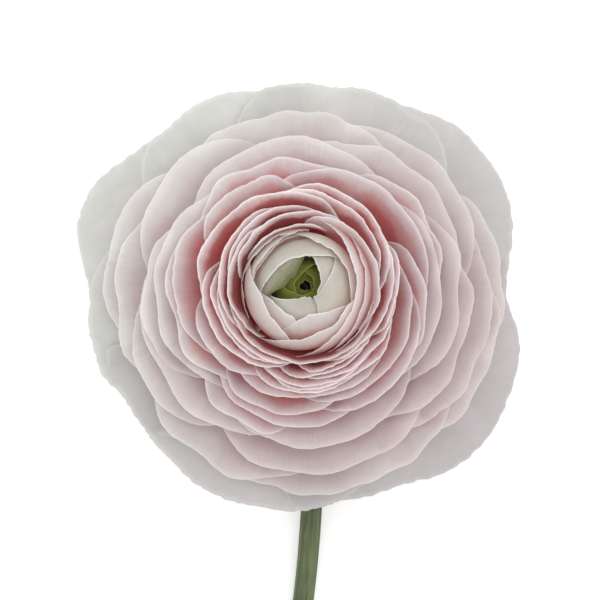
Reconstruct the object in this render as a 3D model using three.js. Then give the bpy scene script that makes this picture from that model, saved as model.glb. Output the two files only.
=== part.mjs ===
import * as THREE from "three";

// Ranunculus bloom with its cut stem, lying face up. Millimetres and degrees, Z up.
// The head is worked out around its own axis first: radius, direction and height above the receptacle.

// Petal sheets: thickness, outline from narrow claw to rounded rim, drop of the rim corners, mesh steps
const PETAL_THICKNESS = 0.22;
const CLAW_SHARE = 0.13;
const WIDEST_AT = 0.62;
const CLAW_TAPER = 3.2;
const BUD_CORNER_DROP = 0.16;
const OPEN_CORNER_DROP = 0.24;
const GUARD_CORNER_DROP = 0.13;
const GUARD_SHELL = 41;
const WIDE_PETAL = 36;
const WIDE_ACROSS = 8;
const NARROW_ACROSS = 7;
const BUD_ALONG = 6;
const OPEN_ALONG = 5;
const CORNER_POWER = 4;
const LOOK_ASIDE = 1e-3;

// Packing of the petals: least distance between shells, and steps between their seats on the receptacle
const SHELL_PITCH = 1.2;
const EASING_ROUNDS = 160;
const EASING_STEP = 4;
const CLOSE_CLAWS = 24;
const CLOSE_SEAT_STEP = 0.6;
const SEAT_STEP = 0.5;
const TOP_SEAT_DEPTH = 1.0;
const LOWEST_SEAT = 0.2;

// Receptacle, the solid cone that carries every petal
const RECEPTACLE_HEIGHT = 14.5;
const RECEPTACLE_BASE_RADIUS = 6.0;
const RECEPTACLE_TOP_RADIUS = 3.0;
const RECEPTACLE_FOOT = 2.0;
const RECEPTACLE_DOME = 0.6;
const RECEPTACLE_FOOT_RADIUS = 3.2;
const RECEPTACLE_SHOULDERS = [
  [5.6, -1.1],
  [1.8, 15.0],
];
const RECEPTACLE_SIDES = 20;
const SEAT_GAP = 0.35;

// Head of carpels on top of the receptacle: radius and height over its own base
const CARPEL_GAP = 0.35;
const CARPEL_SIDES = 16;
const CARPEL_PROFILE = [
  [0, 0],
  [2.2, 0.1],
  [3.6, 1.4],
  [4.1, 3.4],
  [3.5, 5.6],
  [2.0, 7.2],
  [0, 7.8],
];

// Bud ball in the middle: height of its widest part, and its height over its radius
const BALL_EQUATOR = 20.5;
const BALL_CROWN = 0.92;
const WIDEST_RIM_SHARE = 0.98;

// Open petals: height of the rims, how far it falls from the inner to the outer petals, and the last droop
const CROWN_HEIGHT = 26.5;
const CROWN_FALL = 24.5;
const INNER_RADIUS = 14;
const OUTER_RADIUS = 45;
const DROOP_FROM = 46;
const DROOP = 1.6;

// Open petals: all leave the receptacle at one slope, then end nearly upright inside and drooping outside.
// The pulls say how far a petal keeps its slope: a share of its reach at the claw, of its length at the rim.
const CLAW_SLOPE = 4;
const INNER_RIM_SLOPE = 84;
const OUTER_RIM_SLOPE = -26;
const DROOP_SLOPE = -8;
const SLOPE_POWER = 0.72;
const CLAW_PULLS = [1.2, 0.6];
const RIM_PULLS = [0.35, 0.42];

// Lean of the head toward +Y and the drift of its centre from the ball to the guard petals
const LEAN = 6;
const BALL_CENTRE = [0.62, 0.93];
const GUARD_CENTRE = [-0.52, -0.83];
const DRIFT_FROM = 12;
const DRIFT_TO = 45;

// Stem
const STEM_TOP_RADIUS = 2.3;
const STEM_END_RADIUS = 2.05;
const STEM_GAP = 0.6;
const STEM_SIDES = 14;
const STEM_STEPS = 40;
const BEND_CROWDING = 1.5;
const NECK = [0.72, 0.2, -3.2];

// Path of the lying stem: sideways, backward from the head's axis, and height over where it lies
const STEM_PATH = [
  [1.0, -2.6, 2.0],
  [1.5, -7.4, 0.15],
  [2.1, -16, 0],
  [2.5, -30, -0.02],
  [2.0, -46, -0.05],
  [0.4, -64, -0.09],
  [-3.4, -88, -0.14],
  [-8.6, -112, -0.19],
  [-14.6, -134, -0.25],
];

// Sepals: turned-down leaves under the petals
const SEPAL_COUNT = 5;
const FIRST_SEPAL = 54;
const SEPAL_LENGTH = 12;
const SEPAL_HALF_WIDTH = 3.4;
const SEPAL_THICKNESS = 0.6;
const SEPAL_TOP = -0.95;
const SEPAL_SLOPE = 0.2;
const SEPAL_DROOP = 3.2;
const SEPAL_CUP = 0.35;
const SEPAL_OUTLINE = [0.16, 0.96];
const SEPAL_FULLNESS = 0.8;
const SEPAL_ACROSS = 4;
const SEPAL_ALONG = 6;

// Colours, and the rim radius up to which a petal is blush or pale blush
const BLUSH_UP_TO = 26;
const PALE_BLUSH_UP_TO = 40;
const BLUSH = "#e3c3c1";
const PALE_BLUSH = "#ead8d5";
const WHITE_BLUSH = "#e7e0de";
const CREAM = "#ece2d6";
const LEAF_GREEN = "#7d9068";
const CARPEL_GREEN = "#64792f";
const STEM_GREEN = "#6f7d5e";
const PETAL_ROUGHNESS = 0.6;
const LEAF_ROUGHNESS = 0.65;
const CARPEL_ROUGHNESS = 0.7;
const STEM_ROUGHNESS = 0.6;

// Bud petals, inside first: from direction, to direction, shell radius and rim radius at start, middle, end.
const BUD_PETALS = [
  ["bud_heart_petal_bottom", 186, 350, [7.2, 7.0, 7.4], [5.2, 2.3, 2.9]],
  ["bud_heart_petal_left", 78, 204, [7.2, 7.6, 8.4], [6.2, 3.7, 6.2]],
  ["bud_heart_petal_right", 326, 100, [8.6, 8.2, 8.6], [2.9, 3.6, 6.8]],
  ["bud_inner_petal_lower_left", 172, 268, [9.6, 9.2, 9.2], [8.6, 6.1, 6.6]],
  ["bud_inner_petal_lower_right", 238, 348, [10.2, 10.0, 10.2], [6.8, 5.8, 9.4]],
  ["bud_inner_petal_top_left", 70, 192, [10.0, 10.2, 10.8], [8.6, 8.4, 10.0]],
  ["bud_wrap_petal_right", 322, 64, [11.2, 11.0, 11.6], [9.6, 8.3, 11.2]],
  ["bud_wrap_petal_lower_left", 166, 258, [12.0, 11.6, 11.4], [10.4, 9.1, 10.6]],
  ["bud_wrap_petal_bottom", 232, 340, [12.4, 12.2, 12.2], [11.0, 9.3, 10.2]],
  ["bud_wrap_petal_top", 28, 160, [12.2, 12.0, 12.6], [10.3, 10.2, 12.2]],
];

// Open petals, inside first: from direction, to direction, rim radius at start, middle, end.
const OPEN_PETALS = [
  ["collar_petal_top", 58, 150, [13.8, 13.4, 14.1]],
  ["collar_petal_upper_left", 66, 166, [16.6, 15.6, 15.0]],
  ["collar_petal_left", 122, 224, [18.6, 16.3, 14.0]],
  ["collar_petal_far_left", 108, 214, [19.6, 18.2, 15.4]],
  ["collar_petal_right", 336, 74, [13.4, 14.3, 17.1]],
  ["collar_petal_lower_right", 276, 10, [14.6, 13.4, 15.4]],
  ["collar_petal_bottom", 186, 302, [17.0, 14.4, 14.9]],
  ["cup_petal_lower_left", 177, 263, [18.6, 17.1, 17.4]],
  ["cup_petal_left", 163, 252, [19.8, 18.8, 18.4]],
  ["cup_petal_far_left", 165, 258, [22.0, 20.6, 19.7]],
  ["cup_petal_top", 64, 184, [17.2, 21.8, 24.1]],
  ["cup_petal_upper_right", 8, 114, [15.8, 19.3, 22.4]],
  ["cup_petal_right", 2, 98, [16.8, 20.9, 23.4]],
  ["cup_petal_lower_right", 284, 38, [15.2, 16.9, 22.0]],
  ["cup_petal_bottom", 266, 356, [17.3, 17.9, 19.8]],
  ["middle_petal_left", 188, 242, [23.2, 22.1, 21.0]],
  ["middle_petal_bottom", 228, 324, [22.2, 21.4, 22.6]],
  ["middle_petal_lower_right", 276, 12, [24.0, 23.4, 21.9]],
  ["middle_petal_upper_left", 140, 214, [28.4, 26.6, 23.8]],
  ["middle_petal_right", 282, 358, [28.0, 26.5, 23.4]],
  ["middle_petal_far_right", 334, 26, [28.0, 25.8, 24.2]],
  ["middle_petal_upper_right", 358, 96, [25.6, 27.0, 25.0]],
  ["middle_petal_low", 230, 292, [26.0, 26.0, 28.4]],
  ["outer_petal_right", 322, 44, [28.2, 28.6, 28.4]],
  ["outer_petal_left", 134, 224, [29.2, 30.2, 28.0]],
  ["outer_petal_top", 62, 136, [30.2, 32.2, 31.0]],
  ["outer_petal_bottom", 248, 320, [31.0, 31.9, 31.0]],
  ["outer_petal_far_right", 324, 30, [31.4, 32.8, 33.2]],
  ["outer_petal_lower_left", 176, 250, [33.2, 33.2, 32.6]],
  ["outer_petal_upper_right", 10, 78, [34.8, 35.0, 33.6]],
  ["outer_petal_low", 244, 314, [35.6, 37.0, 36.4]],
  ["outer_petal_upper_left", 112, 166, [38.0, 37.2, 36.0]],
  ["outer_petal_far_left", 152, 206, [37.8, 38.4, 38.4]],
  ["outer_petal_high", 60, 122, [37.4, 38.0, 39.2]],
  ["outer_petal_low_right", 312, 16, [37.4, 39.4, 39.6]],
  ["guard_petal_top", 44, 106, [45.8, 45.4, 44.6]],
  ["guard_petal_right", 3, 62, [45.8, 49.6, 47.2]],
  ["guard_petal_upper_left", 92, 142, [45.7, 45.5, 45.0]],
  ["guard_petal_lower_left", 168, 226, [43.8, 44.6, 42.8]],
  ["guard_petal_left", 128, 183, [46.0, 49.3, 45.2]],
  ["guard_petal_bottom", 204, 288, [43.8, 44.6, 43.8]],
  ["guard_petal_lower_right", 274, 2, [45.0, 48.8, 45.9]],
];

const rad = (degrees) => (degrees * Math.PI) / 180;
const clamp01 = (x) => Math.min(1, Math.max(0, x));
const between = ([start, end], share) => start + (end - start) * share;

// Quadratic through three values at -1, 0 and 1
function through(values, u) {
  const [a, b, c] = values;
  return b + ((c - a) / 2) * u + ((a + c) / 2 - b) * u * u;
}

// One list of petals from the heart outward, each with its middle direction and half width
function readPetals() {
  const rows = [...BUD_PETALS, ...OPEN_PETALS];
  return rows.map(([name, from, to, shell, rim]) => {
    const span = (to - from + 360) % 360;
    return {
      name,
      middle: from + span / 2,
      half: span / 2,
      shell: [...shell],
      rim,
      seat: 0,
    };
  });
}

// Every petal is seated below the ones it wraps, and lower still where their claws stand in one line
function seatPetals(petals) {
  const depths = [];
  petals.forEach((petal, index) => {
    let depth = 0;
    petals.slice(0, index).forEach((inner, k) => {
      const apart = Math.abs(((((petal.middle - inner.middle) % 360) + 540) % 360) - 180);
      if (apart < petal.half + inner.half) {
        depth = Math.max(depth, depths[k] + (apart < CLOSE_CLAWS ? CLOSE_SEAT_STEP : SEAT_STEP));
      }
    });
    depths.push(depth);
  });
  const deepest = Math.max(...depths);
  const highest = RECEPTACLE_HEIGHT - TOP_SEAT_DEPTH;
  petals.forEach((petal, index) => {
    petal.seat = highest - ((highest - LOWEST_SEAT) * depths[index]) / deepest;
  });
}

// Share of the half width at which a petal meets a direction, or null when it does not reach it
function shareAt(petal, direction) {
  const offset = ((((direction - petal.middle) % 360) + 540) % 360) - 180;
  const u = offset / petal.half;
  return Math.abs(u) <= 1 ? u : null;
}

// Petals that share a direction are eased apart until their shells stand one pitch from each other
function spreadShells(petals) {
  for (let round = 0; round < EASING_ROUNDS; round += 1) {
    for (let direction = 0; direction < 360; direction += EASING_STEP) {
      const here = petals
        .map((petal) => ({ petal, u: shareAt(petal, direction) }))
        .filter((entry) => entry.u !== null);
      for (let i = 1; i < here.length; i += 1) {
        const inner = here[i - 1];
        const outer = here[i];
        const gap = through(outer.petal.shell, outer.u) - through(inner.petal.shell, inner.u);
        if (gap < SHELL_PITCH) {
          nudge(inner, -(SHELL_PITCH - gap) / 2);
          nudge(outer, (SHELL_PITCH - gap) / 2);
        }
      }
    }
  }
}

function nudge({ petal, u }, amount) {
  const weights = [(u * u - u) / 2, 1 - u * u, (u * u + u) / 2];
  const total = weights.reduce((sum, w) => sum + w * w, 0);
  weights.forEach((w, k) => {
    petal.shell[k] += (amount * w) / total;
  });
}

function receptacleRadius(height) {
  const share = clamp01(height / RECEPTACLE_HEIGHT);
  return RECEPTACLE_BASE_RADIUS + (RECEPTACLE_TOP_RADIUS - RECEPTACLE_BASE_RADIUS) * share;
}

// Profile of an open petal: leaves the receptacle nearly flat, rises round the ball, then opens at its rim
function openProfile(shell, seat, t) {
  const spread = Math.max(0, (shell - INNER_RADIUS) / (OUTER_RADIUS - INNER_RADIUS));
  const beyond = Math.max(0, shell - DROOP_FROM);
  const rim = [shell, CROWN_HEIGHT - CROWN_FALL * spread ** 2 - DROOP * beyond ** 1.5];
  const turned = INNER_RIM_SLOPE + (OUTER_RIM_SLOPE - INNER_RIM_SLOPE) * spread ** SLOPE_POWER;
  const rimSlope = rad(turned + DROOP_SLOPE * beyond);
  const claw = [receptacleRadius(seat) + SEAT_GAP, seat];
  const length = Math.hypot(rim[0] - claw[0], rim[1] - claw[1]);
  const clawPull = between(CLAW_PULLS, spread) * (shell - claw[0]);
  const rimPull = between(RIM_PULLS, spread) * length;
  const clawSlope = rad(CLAW_SLOPE);
  const afterClaw = [claw[0] + clawPull * Math.cos(clawSlope), claw[1] + clawPull * Math.sin(clawSlope)];
  const beforeRim = [rim[0] - rimPull * Math.cos(rimSlope), rim[1] - rimPull * Math.sin(rimSlope)];
  const rest = 1 - t;
  const near = 3 * rest * rest * t;
  const far = 3 * rest * t * t;
  const toRim = t ** 3;
  const toClaw = rest ** 3;
  return claw.map((start, k) => toClaw * start + near * afterClaw[k] + far * beforeRim[k] + toRim * rim[k]);
}

// Profile of a bud petal: out to the equator of the ball, then over the top to its rim
function budProfile(shell, seat, rim, t) {
  const start = receptacleRadius(seat) + SEAT_GAP;
  const end = Math.PI - Math.asin(Math.min(WIDEST_RIM_SHARE, rim / shell));
  const angle = t * end;
  if (angle < Math.PI / 2) {
    const out = start + (shell - start) * Math.sin(angle);
    return [out, BALL_EQUATOR - (BALL_EQUATOR - seat) * Math.cos(angle)];
  }
  return [shell * Math.sin(angle), BALL_EQUATOR - BALL_CROWN * shell * Math.cos(angle)];
}

// From the head's own axis to the place it takes in the flower
function settle(radius, direction, height) {
  const drift = clamp01((radius - DRIFT_FROM) / (DRIFT_TO - DRIFT_FROM));
  const [cx, cy] = BALL_CENTRE.map((start, axis) => start + (GUARD_CENTRE[axis] - start) * drift);
  const x = cx + radius * Math.cos(rad(direction));
  const y = cy + radius * Math.sin(rad(direction));
  return new THREE.Vector3(x, y, height - y * Math.tan(rad(LEAN)));
}

// Point of a petal: u runs across it, v from its claw to its rim
function petalPoint(petal, u, v) {
  const opening = Math.sin((Math.PI / 2) * clamp01(v / WIDEST_AT)) ** CLAW_TAPER;
  const across = u * (CLAW_SHARE + (1 - CLAW_SHARE) * opening);
  const shell = through(petal.shell, across);
  const direction = petal.middle + petal.half * across;
  if (petal.rim) {
    const t = v * (1 - BUD_CORNER_DROP * Math.abs(u) ** CORNER_POWER);
    const [radius, height] = budProfile(shell, petal.seat, through(petal.rim, across), t);
    return settle(radius, direction, height);
  }
  const cornerDrop = shell > GUARD_SHELL ? GUARD_CORNER_DROP : OPEN_CORNER_DROP;
  const t = v * (1 - cornerDrop * Math.abs(u) ** CORNER_POWER);
  const [radius, height] = openProfile(shell, petal.seat, t);
  return settle(radius, direction, height);
}

// Closed sheet of even thickness around a surface given point by point
function sheet(pointAt, across, along, thickness) {
  const faces = [[], []];
  for (let j = 0; j <= along; j += 1) {
    for (let i = 0; i <= across; i += 1) {
      const u = -1 + (2 * i) / across;
      const v = j / along;
      const point = pointAt(u, v);
      const du = pointAt(u + LOOK_ASIDE, v).sub(pointAt(u - LOOK_ASIDE, v));
      const dv = pointAt(u, Math.min(1, v + LOOK_ASIDE)).sub(pointAt(u, Math.max(0, v - LOOK_ASIDE)));
      const normal = du.cross(dv).normalize().multiplyScalar(thickness / 2);
      faces[0].push(point.clone().add(normal));
      faces[1].push(point.clone().sub(normal));
    }
  }
  const row = across + 1;
  const size = row * (along + 1);
  const index = [];
  const quad = (a, b, c, d) => index.push(a, b, c, a, c, d);
  for (let j = 0; j < along; j += 1) {
    for (let i = 0; i < across; i += 1) {
      const a = j * row + i;
      quad(a, a + 1, a + row + 1, a + row);
      quad(size + a, size + a + row, size + a + row + 1, size + a + 1);
    }
  }
  for (let i = 0; i < across; i += 1) {
    const top = along * row + i;
    quad(i, size + i, size + i + 1, i + 1);
    quad(top, top + 1, size + top + 1, size + top);
  }
  for (let j = 0; j < along; j += 1) {
    const left = j * row;
    const right = left + across;
    quad(left, left + row, size + left + row, size + left);
    quad(right, size + right, size + right + row, right + row);
  }
  return closedGeometry([...faces[0], ...faces[1]], index);
}

function closedGeometry(points, index) {
  const geometry = new THREE.BufferGeometry();
  const positions = points.flatMap((point) => point.toArray());
  geometry.setAttribute("position", new THREE.Float32BufferAttribute(positions, 3));
  geometry.setIndex(index);
  geometry.computeVertexNormals();
  return geometry;
}

// Round body from rings of points, closed at both ends with a centre point
function lathe(rings, low, high) {
  const sides = rings[0].length;
  const points = [...rings.flat(), low, high];
  const index = [];
  for (let k = 0; k < rings.length - 1; k += 1) {
    for (let i = 0; i < sides; i += 1) {
      const a = k * sides + i;
      const b = k * sides + ((i + 1) % sides);
      index.push(a, b, b + sides, a, b + sides, a + sides);
    }
  }
  const last = (rings.length - 1) * sides;
  for (let i = 0; i < sides; i += 1) {
    const next = (i + 1) % sides;
    index.push(rings.length * sides, next, i);
    index.push(rings.length * sides + 1, last + i, last + next);
  }
  return closedGeometry(points, index);
}

function roundBody(profile, sides) {
  const rings = profile.slice(1, -1).map(([radius, height]) =>
    Array.from({ length: sides }, (_, i) => settle(radius, (360 * i) / sides, height)),
  );
  return lathe(rings, settle(0, 0, profile[0][1]), settle(0, 0, profile[profile.length - 1][1]));
}

function mesh(name, geometry, colour, roughness) {
  const material = new THREE.MeshStandardMaterial({ color: colour, roughness, metalness: 0 });
  const body = new THREE.Mesh(geometry, material);
  body.name = name;
  return body;
}

function petalColour(petal) {
  if (petal.rim) {
    return CREAM;
  }
  const rim = petal.shell[1];
  if (rim < BLUSH_UP_TO) {
    return BLUSH;
  }
  return rim < PALE_BLUSH_UP_TO ? PALE_BLUSH : WHITE_BLUSH;
}

function buildPetals() {
  const petals = readPetals();
  spreadShells(petals);
  seatPetals(petals);
  return petals.map((petal) => {
    const wide = petal.half > WIDE_PETAL || petal.shell[1] > GUARD_SHELL;
    const across = wide ? WIDE_ACROSS : NARROW_ACROSS;
    const along = petal.rim ? BUD_ALONG : OPEN_ALONG;
    const geometry = sheet((u, v) => petalPoint(petal, u, v), across, along, PETAL_THICKNESS);
    return mesh(petal.name, geometry, petalColour(petal), PETAL_ROUGHNESS);
  });
}

function buildReceptacle() {
  const profile = [
    [0, -RECEPTACLE_FOOT],
    [RECEPTACLE_FOOT_RADIUS, -RECEPTACLE_FOOT],
    RECEPTACLE_SHOULDERS[0],
    [RECEPTACLE_BASE_RADIUS, 0],
    [(RECEPTACLE_BASE_RADIUS + RECEPTACLE_TOP_RADIUS) / 2, RECEPTACLE_HEIGHT / 2],
    [RECEPTACLE_TOP_RADIUS, RECEPTACLE_HEIGHT],
    RECEPTACLE_SHOULDERS[1],
    [0, RECEPTACLE_HEIGHT + RECEPTACLE_DOME],
  ];
  return mesh("receptacle", roundBody(profile, RECEPTACLE_SIDES), LEAF_GREEN, LEAF_ROUGHNESS);
}

function buildCarpels() {
  const base = RECEPTACLE_HEIGHT + RECEPTACLE_DOME + CARPEL_GAP;
  const profile = CARPEL_PROFILE.map(([radius, height]) => [radius, base + height]);
  return mesh("carpel_head", roundBody(profile, CARPEL_SIDES), CARPEL_GREEN, CARPEL_ROUGHNESS);
}

function buildSepals() {
  return Array.from({ length: SEPAL_COUNT }, (_, k) => {
    const direction = FIRST_SEPAL + (360 / SEPAL_COUNT) * k;
    const pointAt = (u, v) => {
      const half = SEPAL_HALF_WIDTH * Math.sin(Math.PI * between(SEPAL_OUTLINE, v)) ** SEPAL_FULLNESS;
      const radius = RECEPTACLE_BASE_RADIUS + SEAT_GAP + SEPAL_LENGTH * v;
      const cup = SEPAL_CUP * (1 - u * u) * Math.sin(Math.PI * v);
      const height = SEPAL_TOP - SEPAL_SLOPE * v - SEPAL_DROOP * v * v - cup;
      return settle(radius, direction + ((u * half) / radius) * (180 / Math.PI), height);
    };
    const geometry = sheet(pointAt, SEPAL_ACROSS, SEPAL_ALONG, SEPAL_THICKNESS);
    return mesh(`sepal_${k + 1}`, geometry, LEAF_GREEN, LEAF_ROUGHNESS);
  });
}

// Stem: down from the receptacle, round the bend, then along the surface it rests on
function buildStem(floor) {
  const neck = settle(0, 0, -RECEPTACLE_FOOT - STEM_GAP);
  const lying = floor + STEM_TOP_RADIUS;
  const stations = [
    neck,
    new THREE.Vector3(NECK[0], NECK[1], neck.z + NECK[2]),
    ...STEM_PATH.map(([x, y, over]) => new THREE.Vector3(x, y, lying + over)),
  ];
  const path = new THREE.CatmullRomCurve3(stations, false, "centripetal");
  const rings = [];
  for (let k = 0; k <= STEM_STEPS; k += 1) {
    const share = (k / STEM_STEPS) ** BEND_CROWDING;
    const centre = path.getPointAt(share);
    const along = path.getTangentAt(share);
    const side = new THREE.Vector3(1, 0, 0).addScaledVector(along, -along.x).normalize();
    const up = new THREE.Vector3().crossVectors(along, side);
    const radius = STEM_TOP_RADIUS + (STEM_END_RADIUS - STEM_TOP_RADIUS) * share;
    rings.push(
      Array.from({ length: STEM_SIDES }, (_, i) => {
        const angle = rad((360 * i) / STEM_SIDES + 90);
        const out = side.clone().multiplyScalar(Math.cos(angle) * radius);
        return centre.clone().add(out).addScaledVector(up, Math.sin(angle) * radius);
      }),
    );
  }
  return mesh("stem", lathe(rings, path.getPointAt(0), path.getPointAt(1)), STEM_GREEN, STEM_ROUGHNESS);
}

function bounds(meshes) {
  const box = new THREE.Box3();
  meshes.forEach((body) => {
    box.union(new THREE.Box3().setFromBufferAttribute(body.geometry.attributes.position));
  });
  return box;
}

// The flower rests with its lowest point at zero and the middle of its outline over the origin
function buildFlower() {
  const petals = buildPetals();
  const floor = bounds(petals).min.z;
  const parts = [buildStem(floor), buildReceptacle(), buildCarpels(), ...buildSepals(), ...petals];
  const box = bounds(parts);
  const flower = new THREE.Group();
  flower.name = "ranunculus_flower";
  parts.forEach((body) => {
    body.geometry.translate(-(box.min.x + box.max.x) / 2, -(box.min.y + box.max.y) / 2, -box.min.z);
    flower.add(body);
  });
  return flower;
}

export default buildFlower();
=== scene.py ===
"""Ranunculus bloom lying face up on its drooping guard petals, with the cut stem bent back along the floor.

Sizes are in millimetres and degrees until a mesh is made, which is in metres.
"""
import logging
import math
from dataclasses import dataclass, field
from enum import Enum
from functools import partial

import bmesh
import bpy
import numpy as np
from bpy.types import Material, Mesh, Node, NodeSocket, NodeTree, Object
from mathutils import Matrix, Vector


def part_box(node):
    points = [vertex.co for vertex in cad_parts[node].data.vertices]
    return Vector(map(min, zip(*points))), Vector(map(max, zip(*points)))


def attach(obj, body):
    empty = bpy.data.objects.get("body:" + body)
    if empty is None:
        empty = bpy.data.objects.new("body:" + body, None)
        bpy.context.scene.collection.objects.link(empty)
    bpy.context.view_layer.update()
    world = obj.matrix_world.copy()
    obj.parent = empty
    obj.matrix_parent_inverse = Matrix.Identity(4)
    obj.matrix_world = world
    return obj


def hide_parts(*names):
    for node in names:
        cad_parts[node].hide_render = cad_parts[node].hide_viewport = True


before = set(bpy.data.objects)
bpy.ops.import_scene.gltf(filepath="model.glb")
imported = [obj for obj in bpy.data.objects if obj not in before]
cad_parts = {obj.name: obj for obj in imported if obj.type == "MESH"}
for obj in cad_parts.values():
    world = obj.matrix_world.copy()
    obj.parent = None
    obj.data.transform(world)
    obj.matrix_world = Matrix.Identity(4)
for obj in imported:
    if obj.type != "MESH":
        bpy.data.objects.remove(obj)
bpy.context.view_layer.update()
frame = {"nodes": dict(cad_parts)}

MM = 0.001
LOG = logging.getLogger("ranunculus")
BLACK = (0.0, 0.0, 0.0, 1.0)
WHITE = (1.0, 1.0, 1.0, 1.0)
SOCKET_KINDS = {int: "NodeSocketInt", float: "NodeSocketFloat", Material: "NodeSocketMaterial"}


class Ring(Enum):
    """Rings of the bloom, from the heart outward."""

    HEART = "heart"
    BUD = "bud"
    COLLAR = "collar"
    CUP = "cup"
    MIDDLE = "middle"
    OUTER = "outer"
    GUARD = "guard"


# Petals from the heart outward: name, first and last direction (degrees anticlockwise from +X), shell radius at
# start, middle and end, and for a petal of the ball also the radius of its rim on top. A row whose name is not a
# node of the model is a further petal of the finished look.
HEART_ROWS = (
    ("heart_petal_core", 320, 120, (4.6, 4.4, 4.6), (0.5, 1.4, 1.7)),
    ("heart_petal_foot", 86, 226, (5.0, 4.8, 5.0), (1.8, 1.1, 0.4)),
    ("heart_petal_low", 196, 350, (5.4, 5.2, 5.4), (0.8, 0.3, 0.7)),
    ("heart_petal_right", 318, 96, (6.0, 5.8, 6.0), (1.5, 2.0, 4.2)),
    ("heart_petal_left", 80, 222, (6.6, 6.4, 6.6), (4.4, 2.2, 2.8)),
    ("heart_petal_bottom", 180, 340, (7.2, 7.0, 7.2), (3.9, 1.3, 1.8)),
)
BUD_ROWS = (
    ("bud_heart_petal_bottom", 176, 340, (9.0, 8.9, 9.0), (6.6, 1.9, 2.9)),
    ("bud_heart_petal_right", 308, 100, (9.3, 9.2, 9.4), (2.4, 3.3, 7.8)),
    ("bud_heart_petal_left", 68, 206, (9.7, 9.6, 9.8), (7.6, 3.3, 6.6)),
    ("bud_heart_petal_low_right", 284, 54, (10.0, 9.9, 10.1), (3.4, 2.9, 8.4)),
    ("bud_heart_petal_veil", 30, 200, (10.2, 10.2, 10.3), (8.2, 6.6, 8.8)),
    ("bud_inner_petal_lower_left", 172, 272, (10.5, 10.4, 10.4), (9.6, 6.3, 7.2)),
    ("bud_inner_petal_lower_right", 232, 354, (10.8, 10.7, 11.0), (8.8, 5.6, 10.2)),
    ("bud_inner_petal_top_left", 84, 194, (11.5, 11.3, 11.4), (11.0, 10.4, 10.7)),
    ("bud_inner_petal_top_right", 322, 110, (11.4, 11.3, 11.8), (9.9, 9.3, 11.1)),
    ("bud_inner_petal_far_left", 92, 214, (12.2, 12.1, 12.2), (10.9, 10.8, 10.9)),
    ("bud_wrap_petal_lower_left", 152, 266, (12.6, 12.1, 12.3), (11.8, 8.8, 11.2)),
    ("bud_wrap_petal_top", 86, 208, (12.0, 13.0, 13.1), (10.9, 12.4, 12.8)),
    ("bud_wrap_petal_bottom", 216, 10, (14.4, 12.4, 12.9), (14.1, 9.4, 10.7)),
    ("collar_petal_top", 56, 156, (13.6, 13.2, 13.8)),
    ("bud_wrap_petal_right", 254, 86, (14.8, 13.0, 15.4), (14.4, 10.4, 14.9)),
    ("bud_wrap_petal_far_right", 278, 68, (15.2, 14.0, 16.4), (14.5, 12.3, 15.6)),
    ("collar_petal_lower_right", 262, 20, (16.6, 15.2, 16.4), (15.7, 13.9, 15.4)),
)
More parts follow.
